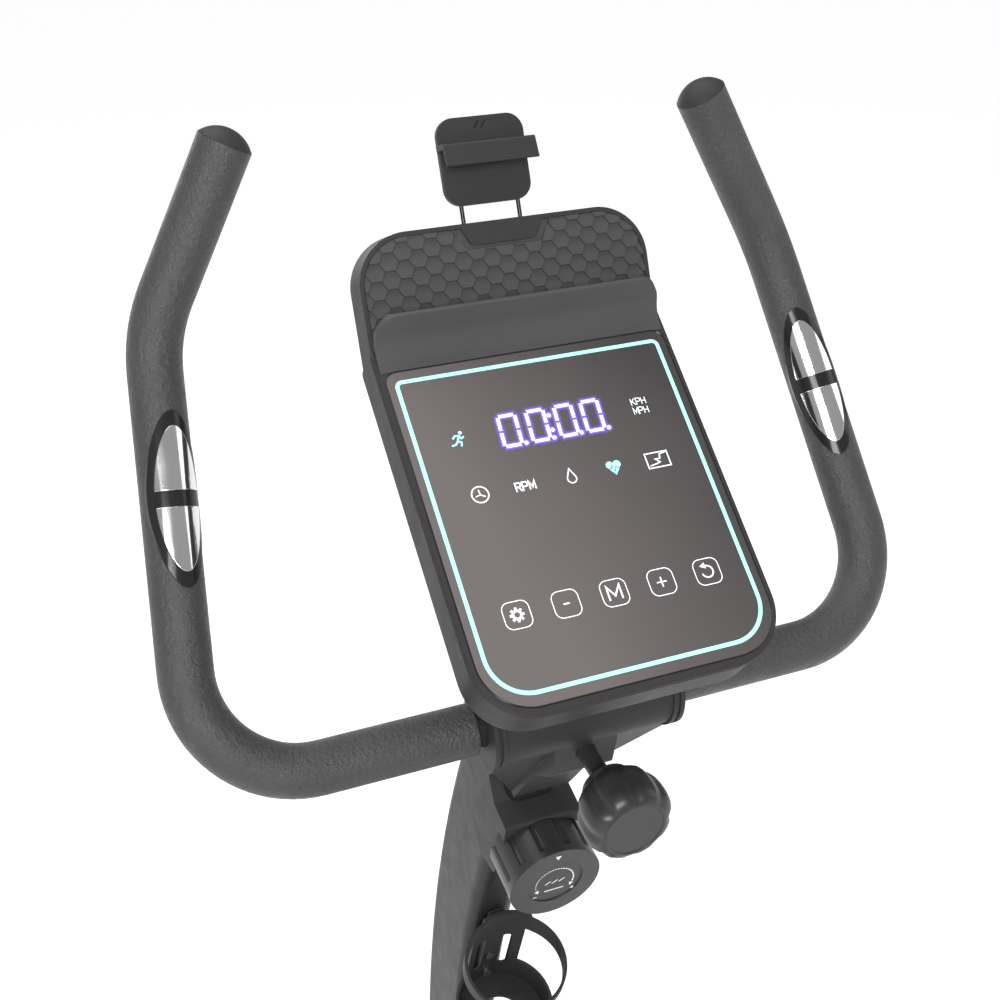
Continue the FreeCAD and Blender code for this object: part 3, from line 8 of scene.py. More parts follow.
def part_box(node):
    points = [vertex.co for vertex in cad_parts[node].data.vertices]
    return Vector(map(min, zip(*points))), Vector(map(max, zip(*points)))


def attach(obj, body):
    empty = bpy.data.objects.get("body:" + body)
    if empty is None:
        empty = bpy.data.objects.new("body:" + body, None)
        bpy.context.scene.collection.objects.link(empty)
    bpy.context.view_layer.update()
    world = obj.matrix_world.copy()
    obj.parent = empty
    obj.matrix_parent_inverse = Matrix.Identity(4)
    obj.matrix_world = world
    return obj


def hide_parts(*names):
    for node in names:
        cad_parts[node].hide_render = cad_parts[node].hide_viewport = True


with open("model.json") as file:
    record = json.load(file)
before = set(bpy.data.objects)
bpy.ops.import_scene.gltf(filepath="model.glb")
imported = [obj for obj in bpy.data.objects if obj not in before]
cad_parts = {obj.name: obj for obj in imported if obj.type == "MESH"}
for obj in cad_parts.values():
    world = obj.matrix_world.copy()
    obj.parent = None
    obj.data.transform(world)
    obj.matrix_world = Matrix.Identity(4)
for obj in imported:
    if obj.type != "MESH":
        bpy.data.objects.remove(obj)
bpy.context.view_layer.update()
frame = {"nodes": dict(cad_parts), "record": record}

# Upright exercise bike.  Sizes below are millimetres; MM turns them into metres.
MM = 0.001
NODES = frame["nodes"]
TILT = math.radians(36.0)
RACK_TILT = math.radians(30.0)
RACK_KINK = 230.0
GLASS_BOTTOM = -8.0
GLASS_TOP = 212.0
CASE_HALF = 96.6
CASE_BOTTOM = -13.0
CASE_TOP = 229.0


# ---------------------------------------------------------------- frames

class Plane:
    """A flat working frame: x to the right, u up the face, n out of it."""

    def __init__(self, origin, right, up):
        self.origin = Vector(origin)
        self.right = Vector(right).normalized()
        self.up = Vector(up).normalized()
        self.out = self.right.cross(self.up).normalized()

    def at(self, x, u, n=0.0):
        return self.origin + (self.right * x + self.up * u + self.out * n) * MM


glass_low, glass_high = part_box("display_glass")
datum_y = glass_low.y - GLASS_BOTTOM * MM * math.cos(TILT)
datum_z = glass_high.z - GLASS_TOP * MM * math.sin(TILT)
console = Plane((0, datum_y, datum_z), (1, 0, 0), (0, math.cos(TILT), math.sin(TILT)))
lean = TILT + RACK_TILT
rack = Plane(console.at(0, RACK_KINK, -1.0), (1, 0, 0), (0, math.cos(lean), math.sin(lean)))


# ---------------------------------------------------------------- materials

def node(tree, kind, **values):
    made = tree.nodes.new(kind)
    for key, value in values.items():
        setattr(made, key, value)
    return made


def surface(name, color, rough, grain=900.0, bump=0.15, depth=0.00012, mottle=0.12, metallic=0.0,
            coat=0.0, rough_spread=0.08, stretch=(1, 1, 1), wear=0.0, specular=0.14, second=0.0, edge=0.0):
    """Procedural finish: fine grain in the relief, slow mottling in the colour, uneven gloss."""
    material = bpy.data.materials.new(name)
    material.use_nodes = True
    tree = material.node_tree
    tree.nodes.clear()
    out = node(tree, "ShaderNodeOutputMaterial")
    shader = node(tree, "ShaderNodeBsdfPrincipled")
    shader.inputs["Metallic"].default_value = metallic
    shader.inputs["Coat Weight"].default_value = coat
    shader.inputs["Coat Roughness"].default_value = 0.12
    shader.inputs["Specular IOR Level"].default_value = specular
    tree.links.new(shader.outputs[0], out.inputs[0])
    coords = node(tree, "ShaderNodeTexCoord")
    mapping = node(tree, "ShaderNodeMapping")
    mapping.inputs["Scale"].default_value = stretch
    tree.links.new(coords.outputs["Object"], mapping.inputs[0])

    def noise(scale, detail, rough_value=0.55):
        made = node(tree, "ShaderNodeTexNoise")
        made.inputs["Scale"].default_value = scale
        made.inputs["Detail"].default_value = detail
        made.inputs["Roughness"].default_value = rough_value
        tree.links.new(mapping.outputs[0], made.inputs["Vector"])
        return made

    slow = noise(18.0, 3.0)
    fine = noise(grain, 3.0)
    ramp = node(tree, "ShaderNodeValToRGB")
    dark = [c * (1 - mottle) for c in color]
    light = [min(1.0, c * (1 + mottle) + 0.02 * mottle) for c in color]
    ramp.color_ramp.elements[0].position = 0.32
    ramp.color_ramp.elements[1].position = 0.68
    ramp.color_ramp.elements[0].color = (*dark, 1)
    ramp.color_ramp.elements[1].color = (*light, 1)
    tree.links.new(slow.outputs["Fac"], ramp.inputs[0])
    color_out = ramp.outputs[0]
    if wear > 0:
        specks = noise(grain * 0.6, 2.0, 0.7)
        pick = node(tree, "ShaderNodeMapRange")
        pick.inputs["From Min"].default_value = 0.6
        pick.inputs["From Max"].default_value = 0.75
        pick.inputs["To Max"].default_value = wear
        tree.links.new(specks.outputs["Fac"], pick.inputs[0])
        blend = node(tree, "ShaderNodeMix", data_type="RGBA")
        blend.inputs["B"].default_value = (*[min(1.0, c * 2.4 + 0.02) for c in color], 1)
        tree.links.new(pick.outputs[0], blend.inputs[0])
        tree.links.new(color_out, blend.inputs["A"])
        color_out = blend.outputs["Result"]
    tree.links.new(color_out, shader.inputs["Base Color"])
    gloss = node(tree, "ShaderNodeMapRange")
    gloss.inputs["From Min"].default_value = 0.3
    gloss.inputs["From Max"].default_value = 0.7
    gloss.inputs["To Min"].default_value = max(0.02, rough - rough_spread)
    gloss.inputs["To Max"].default_value = min(1.0, rough + rough_spread)
    tree.links.new(noise(60.0, 4.0).outputs["Fac"], gloss.inputs[0])
    tree.links.new(gloss.outputs[0], shader.inputs["Roughness"])
    relief = node(tree, "ShaderNodeBump")
    relief.inputs["Strength"].default_value = bump
    relief.inputs["Distance"].default_value = depth
    tree.links.new(fine.outputs["Fac"], relief.inputs["Height"])
    if edge > 0:
        rounding = node(tree, "ShaderNodeBevel", samples=4)
        rounding.inputs["Radius"].default_value = edge
        tree.links.new(rounding.outputs[0], relief.inputs["Normal"])
    last = relief
    if second > 0:
        broad = node(tree, "ShaderNodeBump")
        broad.inputs["Strength"].default_value = second
        broad.inputs["Distance"].default_value = depth * 4
        tree.links.new(noise(grain * 0.22, 4.0, 0.65).outputs["Fac"], broad.inputs["Height"])
        tree.links.new(relief.outputs[0], broad.inputs["Normal"])
        last = broad
    tree.links.new(last.outputs[0], shader.inputs["Normal"])
    return material


def glow(name, color, strength):
    """Lit graphics: even light with a very slight unevenness, as printed windows over lamps have."""
    material = bpy.data.materials.new(name)
    material.use_nodes = True
    tree = material.node_tree
    shader = tree.nodes["Principled BSDF"]
    coords = node(tree, "ShaderNodeTexCoord")
    cloud = node(tree, "ShaderNodeTexNoise")
    cloud.inputs["Scale"].default_value = 240.0
    ramp = node(tree, "ShaderNodeValToRGB")
    ramp.color_ramp.elements[0].color = (*[c * 0.93 for c in color], 1)
    ramp.color_ramp.elements[1].color = (*color, 1)
    tree.links.new(coords.outputs["Object"], cloud.inputs["Vector"])
    tree.links.new(cloud.outputs["Fac"], ramp.inputs[0])
    tree.links.new(ramp.outputs[0], shader.inputs["Emission Color"])
    tree.links.new(ramp.outputs[0], shader.inputs["Base Color"])
    shader.inputs["Emission Strength"].default_value = strength
    shader.inputs["Roughness"].default_value = 0.35
    return material


def halo(name, color, strength, cover):
    """Soft coloured light round the digits."""
    material = bpy.data.materials.new(name)
    material.use_nodes = True
    tree = material.node_tree
    shader = tree.nodes["Principled BSDF"]
    shader.inputs["Base Color"].default_value = (*color, 1)
    shader.inputs["Emission Color"].default_value = (*color, 1)
    shader.inputs["Emission Strength"].default_value = strength
    shader.inputs["Alpha"].default_value = cover
    shader.inputs["Roughness"].default_value = 0.4
    return material


M = {
    "paint": surface("paint", (0.022, 0.0215, 0.022), 0.4, grain=1400, bump=0.10, mottle=0.02, specular=0.1,
                     rough_spread=0.04, edge=0.0008),
    "steel": surface("steel", (0.55, 0.55, 0.56), 0.28, grain=1600, bump=0.3, mottle=0.06, metallic=1.0,
                     stretch=(0.05, 1, 1), edge=0.0004),
    "zinc": surface("zinc", (0.62, 0.62, 0.63), 0.3, grain=1200, bump=0.25, mottle=0.15, metallic=1.0),
    "iron": surface("iron", (0.16, 0.16, 0.17), 0.55, grain=700, bump=0.5, depth=0.0003, mottle=0.2,
                    metallic=0.9, second=0.3, edge=0.001),
    "chrome": surface("chrome", (0.86, 0.86, 0.86), 0.10, grain=500, bump=0.02, mottle=0.02, metallic=1.0,
                      rough_spread=0.03, edge=0.0006),
    "case": surface("case", (0.034, 0.032, 0.033), 0.5, grain=2600, bump=0.25, depth=0.00006, mottle=0.03,
                    rough_spread=0.04, edge=0.0009),
    "lip": surface("lip", (0.066, 0.065, 0.066), 0.48, grain=2600, bump=0.25, depth=0.00006, mottle=0.03,
                   rough_spread=0.04, edge=0.0009),
    "gloss_black": surface("gloss_black", (0.015, 0.014, 0.015), 0.2, grain=500, bump=0.02, mottle=0.05,
                           rough_spread=0.04, coat=0.3, edge=0.0005),
    "knob": surface("knob", (0.030, 0.028, 0.029), 0.36, grain=2200, bump=0.25, depth=0.00006, mottle=0.04,
                    specular=0.4, rough_spread=0.04, edge=0.0010),
    "shroud": surface("shroud", (0.030, 0.029, 0.030), 0.34, grain=1800, bump=0.12, mottle=0.02,
                      specular=0.35, rough_spread=0.03, edge=0.0010),
    "mat": surface("mat", (0.060, 0.058, 0.059), 0.5, grain=2400, bump=0.3, depth=0.0001, mottle=0.04),
    "foam": surface("foam", (0.034, 0.032, 0.033), 0.42, grain=1300, bump=0.75, depth=0.00045, mottle=0.10,
                    second=0.8, wear=0.3, specular=0.6),
    "rubber": surface("rubber", (0.026, 0.026, 0.026), 0.64, grain=1500, bump=0.4, mottle=0.08, edge=0.0010),
    "board": surface("board", (0.02, 0.12, 0.05), 0.35, grain=900, bump=0.2, mottle=0.15),
    "vinyl": surface("vinyl", (0.034, 0.033, 0.034), 0.46, grain=620, bump=0.55, depth=0.00035, mottle=0.06,
                     second=0.25, specular=0.45),
    "strap": surface("strap", (0.034, 0.034, 0.035), 0.56, grain=1800, bump=0.45, mottle=0.08, edge=0.0006),
    "print_white": surface("print_white", (0.80, 0.80, 0.81), 0.5, grain=900, bump=0.05, mottle=0.03),
    "thread": surface("thread", (0.10, 0.10, 0.105), 0.75, grain=3000, bump=0.5, mottle=0.1),
    "lit_cyan": glow("lit_cyan", (0.30, 0.70, 0.68), 0.9),
    "lit_white": glow("lit_white", (0.70, 0.75, 0.76), 0.7),
    "lit_digit": glow("lit_digit", (0.95, 0.94, 1.0), 1.6),
    "halo_far": halo("halo_far", (0.16, 0.12, 0.55), 0.8, 0.16),
    "halo_near": halo("halo_near", (0.25, 0.18, 0.95), 1.0, 0.5),
}


def glass_finish():
    """Smoked glass with a painted reflection: its colour is lighter and browner towards its lower left."""
    material = bpy.data.materials.new("glass")
    material.use_nodes = True
    tree = material.node_tree
    shader = tree.nodes["Principled BSDF"]
    shader.inputs["Roughness"].default_value = 0.3
    shader.inputs["Specular IOR Level"].default_value = 0.12
    coords = node(tree, "ShaderNodeTexCoord")
    # Painted reflection: a slope across the glass makes the base colour lighter and browner towards the lower
    # left, standing in for light reflected there.
    slope = node(tree, "ShaderNodeVectorMath", operation="DOT_PRODUCT")
    slope.inputs[1].default_value = (4.4, 1.5, 0)
    painted_reflection = node(tree, "ShaderNodeMath", operation="ADD")
    painted_reflection.inputs[1].default_value = 0.14
    drift = node(tree, "ShaderNodeTexNoise")
    drift.inputs["Scale"].default_value = 9.0
    drift.inputs["Detail"].default_value = 1.0
    mix = node(tree, "ShaderNodeMath", operation="MULTIPLY_ADD")
    mix.inputs[1].default_value = 0.3
    ramp = node(tree, "ShaderNodeValToRGB")
    # The lighter, browner stop is the painted reflection; the darker stop is the glass's own smoked tone.
    ramp.color_ramp.elements[0].position = 0.15
    ramp.color_ramp.elements[1].position = 0.9
    ramp.color_ramp.elements[0].color = (0.128, 0.114, 0.112, 1)
    ramp.color_ramp.elements[1].color = (0.052, 0.048, 0.049, 1)
    tree.links.new(coords.outputs["Object"], slope.inputs[0])
    tree.links.new(slope.outputs["Value"], painted_reflection.inputs[0])
    tree.links.new(coords.outputs["Object"], drift.inputs["Vector"])
    tree.links.new(drift.outputs["Fac"], mix.inputs[0])
    tree.links.new(painted_reflection.outputs[0], mix.inputs[2])
    tree.links.new(mix.outputs[0], ramp.inputs[0])
    tree.links.new(ramp.outputs[0], shader.inputs["Base Color"])
    fine = node(tree, "ShaderNodeTexNoise")
    fine.inputs["Scale"].default_value = 70.0
    relief = node(tree, "ShaderNodeBump")
    relief.inputs["Strength"].default_value = 0.02
    relief.inputs["Distance"].default_value = 0.0002
    tree.links.new(coords.outputs["Object"], fine.inputs["Vector"])
    tree.links.new(fine.outputs["Fac"], relief.inputs["Height"])
    tree.links.new(relief.outputs[0], shader.inputs["Normal"])
    return material


M["glass"] = glass_finish()

SLOT_LOOK = {
    "black_paint": "paint", "steel": "steel", "zinc": "zinc", "cast_iron": "iron", "chrome": "chrome",
    "case_plastic": "case", "lip_plastic": "lip", "gloss_black": "gloss_black", "knob_plastic": "knob",
    "shroud_plastic": "shroud", "mat_rubber": "mat", "foam": "foam", "rubber": "rubber", "display": "glass",
    "board": "board", "saddle_cover": "vinyl", "strap": "strap",
}
for part in frame["record"]["subparts"]:
    shown = NODES[part["node"]]
    shown.data.materials.clear()
    look = "steel" if part["node"] == "seat_post" else SLOT_LOOK[part["material_slot"]]
    shown.data.materials.append(M[look])


# ---------------------------------------------------------------- piece builders

def add_piece(name, vertices, faces, look, body, smooth=True, replaces=()):
    mesh = bpy.data.meshes.new(name)
    mesh.from_pydata([tuple(v) for v in vertices], [], faces)
    mesh.validate()
    made = bpy.data.objects.new(name, mesh)
    bpy.context.scene.collection.objects.link(made)
    mesh.materials.append(M[look])
    work = bmesh.new()
    work.from_mesh(mesh)
    bmesh.ops.recalc_face_normals(work, faces=work.faces)
    work.to_mesh(mesh)
    work.free()
    if smooth:
        mesh.shade_smooth()
        mesh.set_sharp_from_angle(angle=math.radians(35))
    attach(made, body)
    if replaces:
        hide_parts(*replaces)
    return made


class Shape:
    """Collects faces for one piece."""

    def __init__(self):
        self.vertices = []
        self.faces = []

    def add(self, vertices, faces):
        start = len(self.vertices)
        self.vertices += list(vertices)
        self.faces += [tuple(start + i for i in face) for face in faces]

    def make(self, name, look, body, smooth=True, replaces=()):
        return add_piece(name, self.vertices, self.faces, look, body, smooth, replaces)


def arc(cx, cu, radius, start, end, steps=16):
    """Points on an arc, angles in degrees."""
    points = []
    for i in range(steps + 1):
        a = math.radians(start + (end - start) * i / steps)
        points.append((cx + radius * math.cos(a), cu + radius * math.sin(a)))
    return points


def rounded_rect(left, right, low, high, bottom_r, top_r, steps=10):
    points = arc(right - bottom_r, low + bottom_r, bottom_r, -90, 0, steps)
    points += arc(right - top_r, high - top_r, top_r, 0, 90, steps)
    points += arc(left + top_r, high - top_r, top_r, 90, 180, steps)
    points += arc(left + bottom_r, low + bottom_r, bottom_r, 180, 270, steps)
    return points


def normals_of(points, closed):
    """Outward mitre vectors of a polyline that runs counter-clockwise."""
    found = []
    count = len(points)
    for i in range(count):
        before = points[i - 1] if closed or i > 0 else points[i]
        after = points[(i + 1) % count] if closed or i < count - 1 else points[i]
        here = points[i]
        first = Vector((here[0] - before[0], here[1] - before[1]))
        second = Vector((after[0] - here[0], after[1] - here[1]))
        first = first.normalized() if first.length > 1e-9 else second.normalized()
        second = second.normalized() if second.length > 1e-9 else first
        a = Vector((first.y, -first.x))
        b = Vector((second.y, -second.x))
        both = (a + b)
        both = both.normalized() if both.length > 1e-6 else a
        found.append(both / max(0.35, both.dot(a)))
    return found


def stroke(shape, plane, points, width, height, closed=False, thick=0.06):
    """Flat printed line of a given width lying on a plane, with a hair of thickness."""
    if closed and (Vector(points[0]) - Vector(points[-1])).length < 1e-6:
        points = points[:-1]
    sides = normals_of(points, closed)
    half = width / 2
    vertices = []
    for (x, u), side in zip(points, sides):
        for away in (half, -half):
            vertices.append(plane.at(x + side.x * away, u + side.y * away, height))
        for away in (half, -half):
            vertices.append(plane.at(x + side.x * away, u + side.y * away, height - thick))
    faces = []
    count = len(points)
    for i in range(count if closed else count - 1):
        a, b = i * 4, ((i + 1) % count) * 4
        faces += [(a, a + 1, b + 1, b), (a + 2, b + 2, b + 3, a + 3)]
        faces += [(a, b, b + 2, a + 2), (a + 1, a + 3, b + 3, b + 1)]
    if not closed:
        last = (count - 1) * 4
        faces += [(0, 2, 3, 1), (last, last + 1, last + 3, last + 2)]
    shape.add(vertices, faces)


def plate(shape, plane, points, low, high):
    """Prism over an outline in a plane."""
    count = len(points)
    vertices = [plane.at(x, u, high) for x, u in points] + [plane.at(x, u, low) for x, u in points]
    faces = [tuple(range(count)), tuple(range(2 * count - 1, count - 1, -1))]
    faces += [(i, (i + 1) % count, count + (i + 1) % count, count + i) for i in range(count)]
    shape.add(vertices, faces)


def dot(shape, plane, x, u, radius, height):
    plate(shape, plane, arc(x, u, radius, 0, 340, 17), height - 0.06, height)


def sweep(shape, plane, outline, profile):
    """Closed profile of (outward, depth) pairs carried round a closed outline."""
    sides = normals_of(outline, True)
    rows = len(profile)
    vertices = []
    for (x, u), side in zip(outline, sides):
        for away, n in profile:
            vertices.append(plane.at(x + side.x * away, u + side.y * away, n))
    faces = []
    count = len(outline)
    for i in range(count):
        for j in range(rows):
            a, b = i * rows, ((i + 1) % count) * rows
            k = (j + 1) % rows
            faces.append((a + j, a + k, b + k, b + j))
    shape.add(vertices, faces)


def tube(shape, points, radius, sides=10, closed=False):
    """Round bead through points given in metres."""
    points = [Vector(p) for p in points]
    count = len(points)
    up = None
    rings = []
    for i in range(count):
        before = points[i - 1] if closed or i > 0 else points[i]
        after = points[(i + 1) % count] if closed or i < count - 1 else points[i]
        along = (after - before).normalized()
        if up is None:
            up = along.orthogonal().normalized()
        up = (up - along * up.dot(along)).normalized()
        side = along.cross(up)
        ring = []
        for j in range(sides):
            a = 2 * math.pi * j / sides
            ring.append(points[i] + (up * math.cos(a) + side * math.sin(a)) * radius * MM)
        rings.append(ring)
    vertices = [v for ring in rings for v in ring]
    faces = []
    for i in range(count if closed else count - 1):
        for j in range(sides):
            a, b = i * sides, ((i + 1) % count) * sides
            k = (j + 1) % sides
            faces.append((a + j, a + k, b + k, b + j))
    if not closed:
        faces.append(tuple(range(sides - 1, -1, -1)))
        faces.append(tuple(range((count - 1) * sides, count * sides)))
    shape.add(vertices, faces)


def lathe(shape, centre, axis, profile, sides=40):
    """Solid of revolution; profile is (distance along the axis, radius) in mm from one end to the other."""
    axis = Vector(axis).normalized()
    a_side = axis.orthogonal().normalized()
    b_side = axis.cross(a_side)
    centre = Vector(centre)
    vertices = []
    for along, radius in profile:
        for j in range(sides):
            a = 2 * math.pi * j / sides
            spoke = a_side * math.cos(a) + b_side * math.sin(a)
            vertices.append(centre + (axis * along + spoke * max(radius, 0.01)) * MM)
    faces = []
    for i in range(len(profile) - 1):
        for j in range(sides):
            k = (j + 1) % sides
            faces.append((i * sides + j, i * sides + k, (i + 1) * sides + k, (i + 1) * sides + j))
    faces.append(tuple(range(sides - 1, -1, -1)))
    last = (len(profile) - 1) * sides
    faces.append(tuple(range(last, last + sides)))
    shape.add(vertices, faces)


def screw(shape, centre, axis, radius):
    """Pan-head screw with a round recess, standing on a surface."""
    high = radius * 0.55
    lathe(shape, centre, axis, [
        (-0.3, radius), (high * 0.5, radius), (high, radius * 0.72), (high, radius * 0.45),
        (high * 0.3, radius * 0.4), (high * 0.3, 0),
    ], sides=24)


# ---------------------------------------------------------------- console: display graphics

PRINT = 0.12


def draw(shape, plane, lines, x, u, size, width, height):
    """Polylines on a unit box, placed and scaled."""
    for line in lines:
        points = [(x + px * size[0], u + pu * size[1]) for px, pu in line]
        stroke(shape, plane, points, width, height)


LETTERS = {
    "R": [[(0, 0), (0, 1), (0.62, 1), (0.8, 0.88), (0.8, 0.64), (0.62, 0.52), (0, 0.52)],
          [(0.42, 0.52), (0.85, 0)]],
    "P": [[(0, 0), (0, 1), (0.62, 1), (0.8, 0.88), (0.8, 0.6), (0.62, 0.48), (0, 0.48)]],
    "M": [[(0, 0), (0, 1), (0.45, 0.28), (0.9, 1), (0.9, 0)]],
    "K": [[(0, 0), (0, 1)], [(0.8, 1), (0.06, 0.44)], [(0.26, 0.58), (0.85, 0)]],
    "H": [[(0, 0), (0, 1)], [(0.8, 1), (0.8, 0)], [(0, 0.5), (0.8, 0.5)]],
}


def word(shape, plane, text, x, u, high, width, height):
    """Short unit label, centred on x and u."""
    wide = high * 0.72
    step = wide * 1.08
    start = x - step * len(text) / 2 + step * 0.06
    for index, letter in enumerate(text):
        draw(shape, plane, LETTERS[letter], start + index * step, u - high / 2, (wide, high), width, height)


def segments(x, u, wide, high):
    """The six lit bars of a nought, as short separate strokes."""
    half_w, half_h = wide / 2, high / 2
    gap = 1.0
    slant = 0.06
    bars = [
        [(-half_w + gap, half_h), (half_w - gap, half_h)],
        [(-half_w + gap, -half_h), (half_w - gap, -half_h)],
        [(-half_w, half_h - gap), (-half_w, gap)],
        [(half_w, half_h - gap), (half_w, gap)],
        [(-half_w, -gap), (-half_w, -half_h + gap)],
        [(half_w, -gap), (half_w, -half_h + gap)],
    ]
    return [[(x + px + pu * slant, u + pu) for px, pu in bar] for bar in bars]


DIGIT_X = (-28.0, -9.4, 9.2, 27.0)
DIGIT_U = 160.3
BUTTON_X = (-60.6, -29.9, 0.7, 31.5, 62.0)
BUTTON_U = 46.1
POINTS = ((-20.4, 150.3), (-2.0, 150.3), (16.2, 150.3), (34.6, 150.3), (-0.6, 165.6), (-1.4, 155.6))


def display_digits():
    """Four noughts and their points, with two soft halos under them."""
    digits = Shape()
    near = Shape()
    far = Shape()
    for digit_x in DIGIT_X:
        for bar in segments(digit_x, DIGIT_U, 11.2, 20.4):
            stroke(digits, console, bar, 1.75, 0.26)
            for target, extra, height in ((near, 1.6, 0.18), (far, 4.0, 0.14)):
                (ax, au), (bx, bu) = bar
                along = Vector((bx - ax, bu - au)).normalized() * extra * 0.45
                grown = [(ax - along.x, au - along.y), (bx + along.x, bu + along.y)]
                stroke(target, console, grown, 1.75 + extra, height, thick=0.02)
    for px, pu in POINTS:
        dot(digits, console, px, pu, 1.15, 0.26)
        dot(near, console, px, pu, 2.0, 0.18)
        dot(far, console, px, pu, 3.1, 0.14)
    digits.make("display_digits", "lit_digit", "frame", smooth=False)
    near.make("display_halo_near", "halo_near", "frame", smooth=False)
    far.make("display_halo_far", "halo_far", "frame", smooth=False)


def display_border():
    border = Shape()
    stroke(border, console, rounded_rect(-87.5, 87.5, 0.0, 204.6, 25, 3.6, 14), 2.5, PRINT, closed=True)
    border.make("display_border", "lit_cyan", "frame", smooth=False)


def status_icons(white, cyan):
    """Unit labels and generic pictograms in the upper half of the display."""
    word(white, console, "KPH", 60.2, 164.4, 4.6, 0.55, PRINT)
    word(white, console, "MPH", 59.9, 157.9, 4.6, 0.55, PRINT)
    word(white, console, "RPM", -30.0, 122.7, 5.6, 0.95, PRINT)
    # clock
    stroke(white, console, arc(-58.9, 122.9, 5.2, 0, 360, 40), 0.8, PRINT, closed=True)
    stroke(white, console, [(-59.2, 126.2), (-58.9, 122.7), (-55.9, 121.0)], 0.75, PRINT)
    stroke(white, console, [(-58.9, 122.7), (-62.0, 121.9)], 0.6, PRINT)
    # drop
    drop = [(0.0, 5.6), (-1.2, 3.2)] + arc(0, -1.0, 2.9, 160, 380, 18) + [(1.2, 3.2)]
    stroke(white, console, [(x - 0.1, u + 122.7) for x, u in drop], 0.75, PRINT, closed=True)
    # chart in a frame
    chart_frame = [(50.6, 118.0), (65.6, 118.0), (65.6, 128.0), (50.6, 128.0)]
    stroke(white, console, chart_frame, 0.8, PRINT, closed=True)
    chart = [(52.0, 119.6), (56.6, 120.4), (59.2, 121.2), (56.6, 123.6), (59.8, 123.6), (60.4, 126.6),
             (64.6, 127.4)]
    stroke(white, console, chart, 0.8, PRINT)
    # heart with a pulse line
    heart = arc(-2.35, 1.7, 2.55, 200, 20, 14) + arc(2.35, 1.7, 2.55, 160, -20, 14)[1:] + [(0.0, -5.2)]
    plate(cyan, console, [(x + 28.6, u + 123.6) for x, u in heart], PRINT - 0.06, PRINT)
    # generic running figure of plain bars
    runner_x, runner_u = -61.5, 160.0
    dot(cyan, console, runner_x + 2.7, runner_u + 4.7, 1.15, PRINT)
    for limb in (
        [(1.9, 3.0), (0.6, 1.2), (-0.4, -0.9)],
        [(1.5, 2.9), (-1.2, 3.1), (-2.9, 1.3)],
        [(1.5, 2.7), (2.6, 0.9), (4.3, 1.9)],
        [(-0.3, -0.7), (1.9, -1.5), (1.3, -4.3)],
        [(-0.4, -0.8), (-2.0, -2.7), (-4.7, -3.1)],
    ):
        stroke(cyan, console, [(runner_x + x, runner_u + u) for x, u in limb], 1.15, PRINT)


def button_icons(white):
    """A row of five outlined touch keys: gear, minus, M, plus and a turning arrow."""
    for bx in BUTTON_X:
        outline = rounded_rect(bx - 8.2, bx + 8.2, BUTTON_U - 8.2, BUTTON_U + 8.2, 4.6, 4.6, 8)
        stroke(white, console, outline, 0.55, PRINT, closed=True)
    stroke(white, console, arc(BUTTON_X[0], BUTTON_U, 2.5, 0, 360, 28), 1.5, PRINT, closed=True)
    for tooth in range(8):
        a = math.radians(45 * tooth)
        inner = (BUTTON_X[0] + 2.9 * math.cos(a), BUTTON_U + 2.9 * math.sin(a))
        outer = (BUTTON_X[0] + 4.5 * math.cos(a), BUTTON_U + 4.5 * math.sin(a))
        stroke(white, console, [inner, outer], 1.5, PRINT)
    stroke(white, console, [(BUTTON_X[1] - 1.9, BUTTON_U), (BUTTON_X[1] + 1.9, BUTTON_U)], 0.95, PRINT)
    draw(white, console, LETTERS["M"], BUTTON_X[2] - 4.1, BUTTON_U - 4.3, (9.1, 8.6), 1.1, PRINT)
    stroke(white, console, [(BUTTON_X[3] - 3.2, BUTTON_U), (BUTTON_X[3] + 3.2, BUTTON_U)], 0.8, PRINT)
    stroke(white, console, [(BUTTON_X[3], BUTTON_U - 3.2), (BUTTON_X[3], BUTTON_U + 3.2)], 0.8, PRINT + 0.01)
    stroke(white, console, arc(BUTTON_X[4], BUTTON_U, 3.7, 100, -165, 30), 0.95, PRINT)
    plate(white, console, [(BUTTON_X[4] - 3.9, BUTTON_U + 3.9), (BUTTON_X[4] - 0.4, BUTTON_U + 6.0),
                           (BUTTON_X[4] - 0.1, BUTTON_U + 1.9)], PRINT - 0.05, PRINT + 0.01)


def display_icons():
    white = Shape()
    cyan = Shape()
    status_icons(white, cyan)
    button_icons(white)
    white.make("display_icons_white", "lit_white", "frame", smooth=False)
    cyan.make("display_icons_cyan", "lit_cyan", "frame", smooth=False)
    pulse = Shape()
    beat = [(23.8, 123.0), (26.6, 123.0), (27.6, 125.2), (28.7, 120.6), (29.8, 124.2), (30.6, 123.0),
            (33.4, 123.0)]
    stroke(pulse, console, beat, 0.5, PRINT + 0.06)
    pulse.make("display_pulse_line", "glass", "frame", smooth=False)


def console_rim_ribs():
    """Fine ribs round the rim of the case."""
    ribs = Shape()
    case_edge = rounded_rect(-CASE_HALF, CASE_HALF, CASE_BOTTOM, CASE_TOP, 37.0, 3.0, 16)
    for depth, radius in ((-0.9, 0.85), (-3.4, 0.75), (-5.9, 0.75)):
        ring = [(-0.3 + radius * math.cos(math.radians(a)), depth + radius * math.sin(math.radians(a)))
                for a in range(-150, 180, 30)]
        sweep(ribs, console, case_edge, ring)
    ribs.make("console_rim_ribs", "case", "frame")


def display_gasket():
    glass_edge = Shape()
    edge_line = rounded_rect(-93.7, 93.7, GLASS_BOTTOM - 0.2, GLASS_TOP, 31.0, 8.0, 16)
    bead = [(0.55, -0.4), (0.55, 0.28), (0.15, 0.42), (-0.35, 0.1), (-0.35, -0.4)]
    sweep(glass_edge, console, edge_line, bead)
    glass_edge.make("display_gasket", "gloss_black", "frame")


# ---------------------------------------------------------------- rack mat

MAT_HALF = 93.6
MAT_LOW = 7.0
MAT_TOP = 65.0
HEX_R = 6.35
HEX_GAP = 0.06
TAB_EDGE = 51.8
TAB_SIDE = 25.4


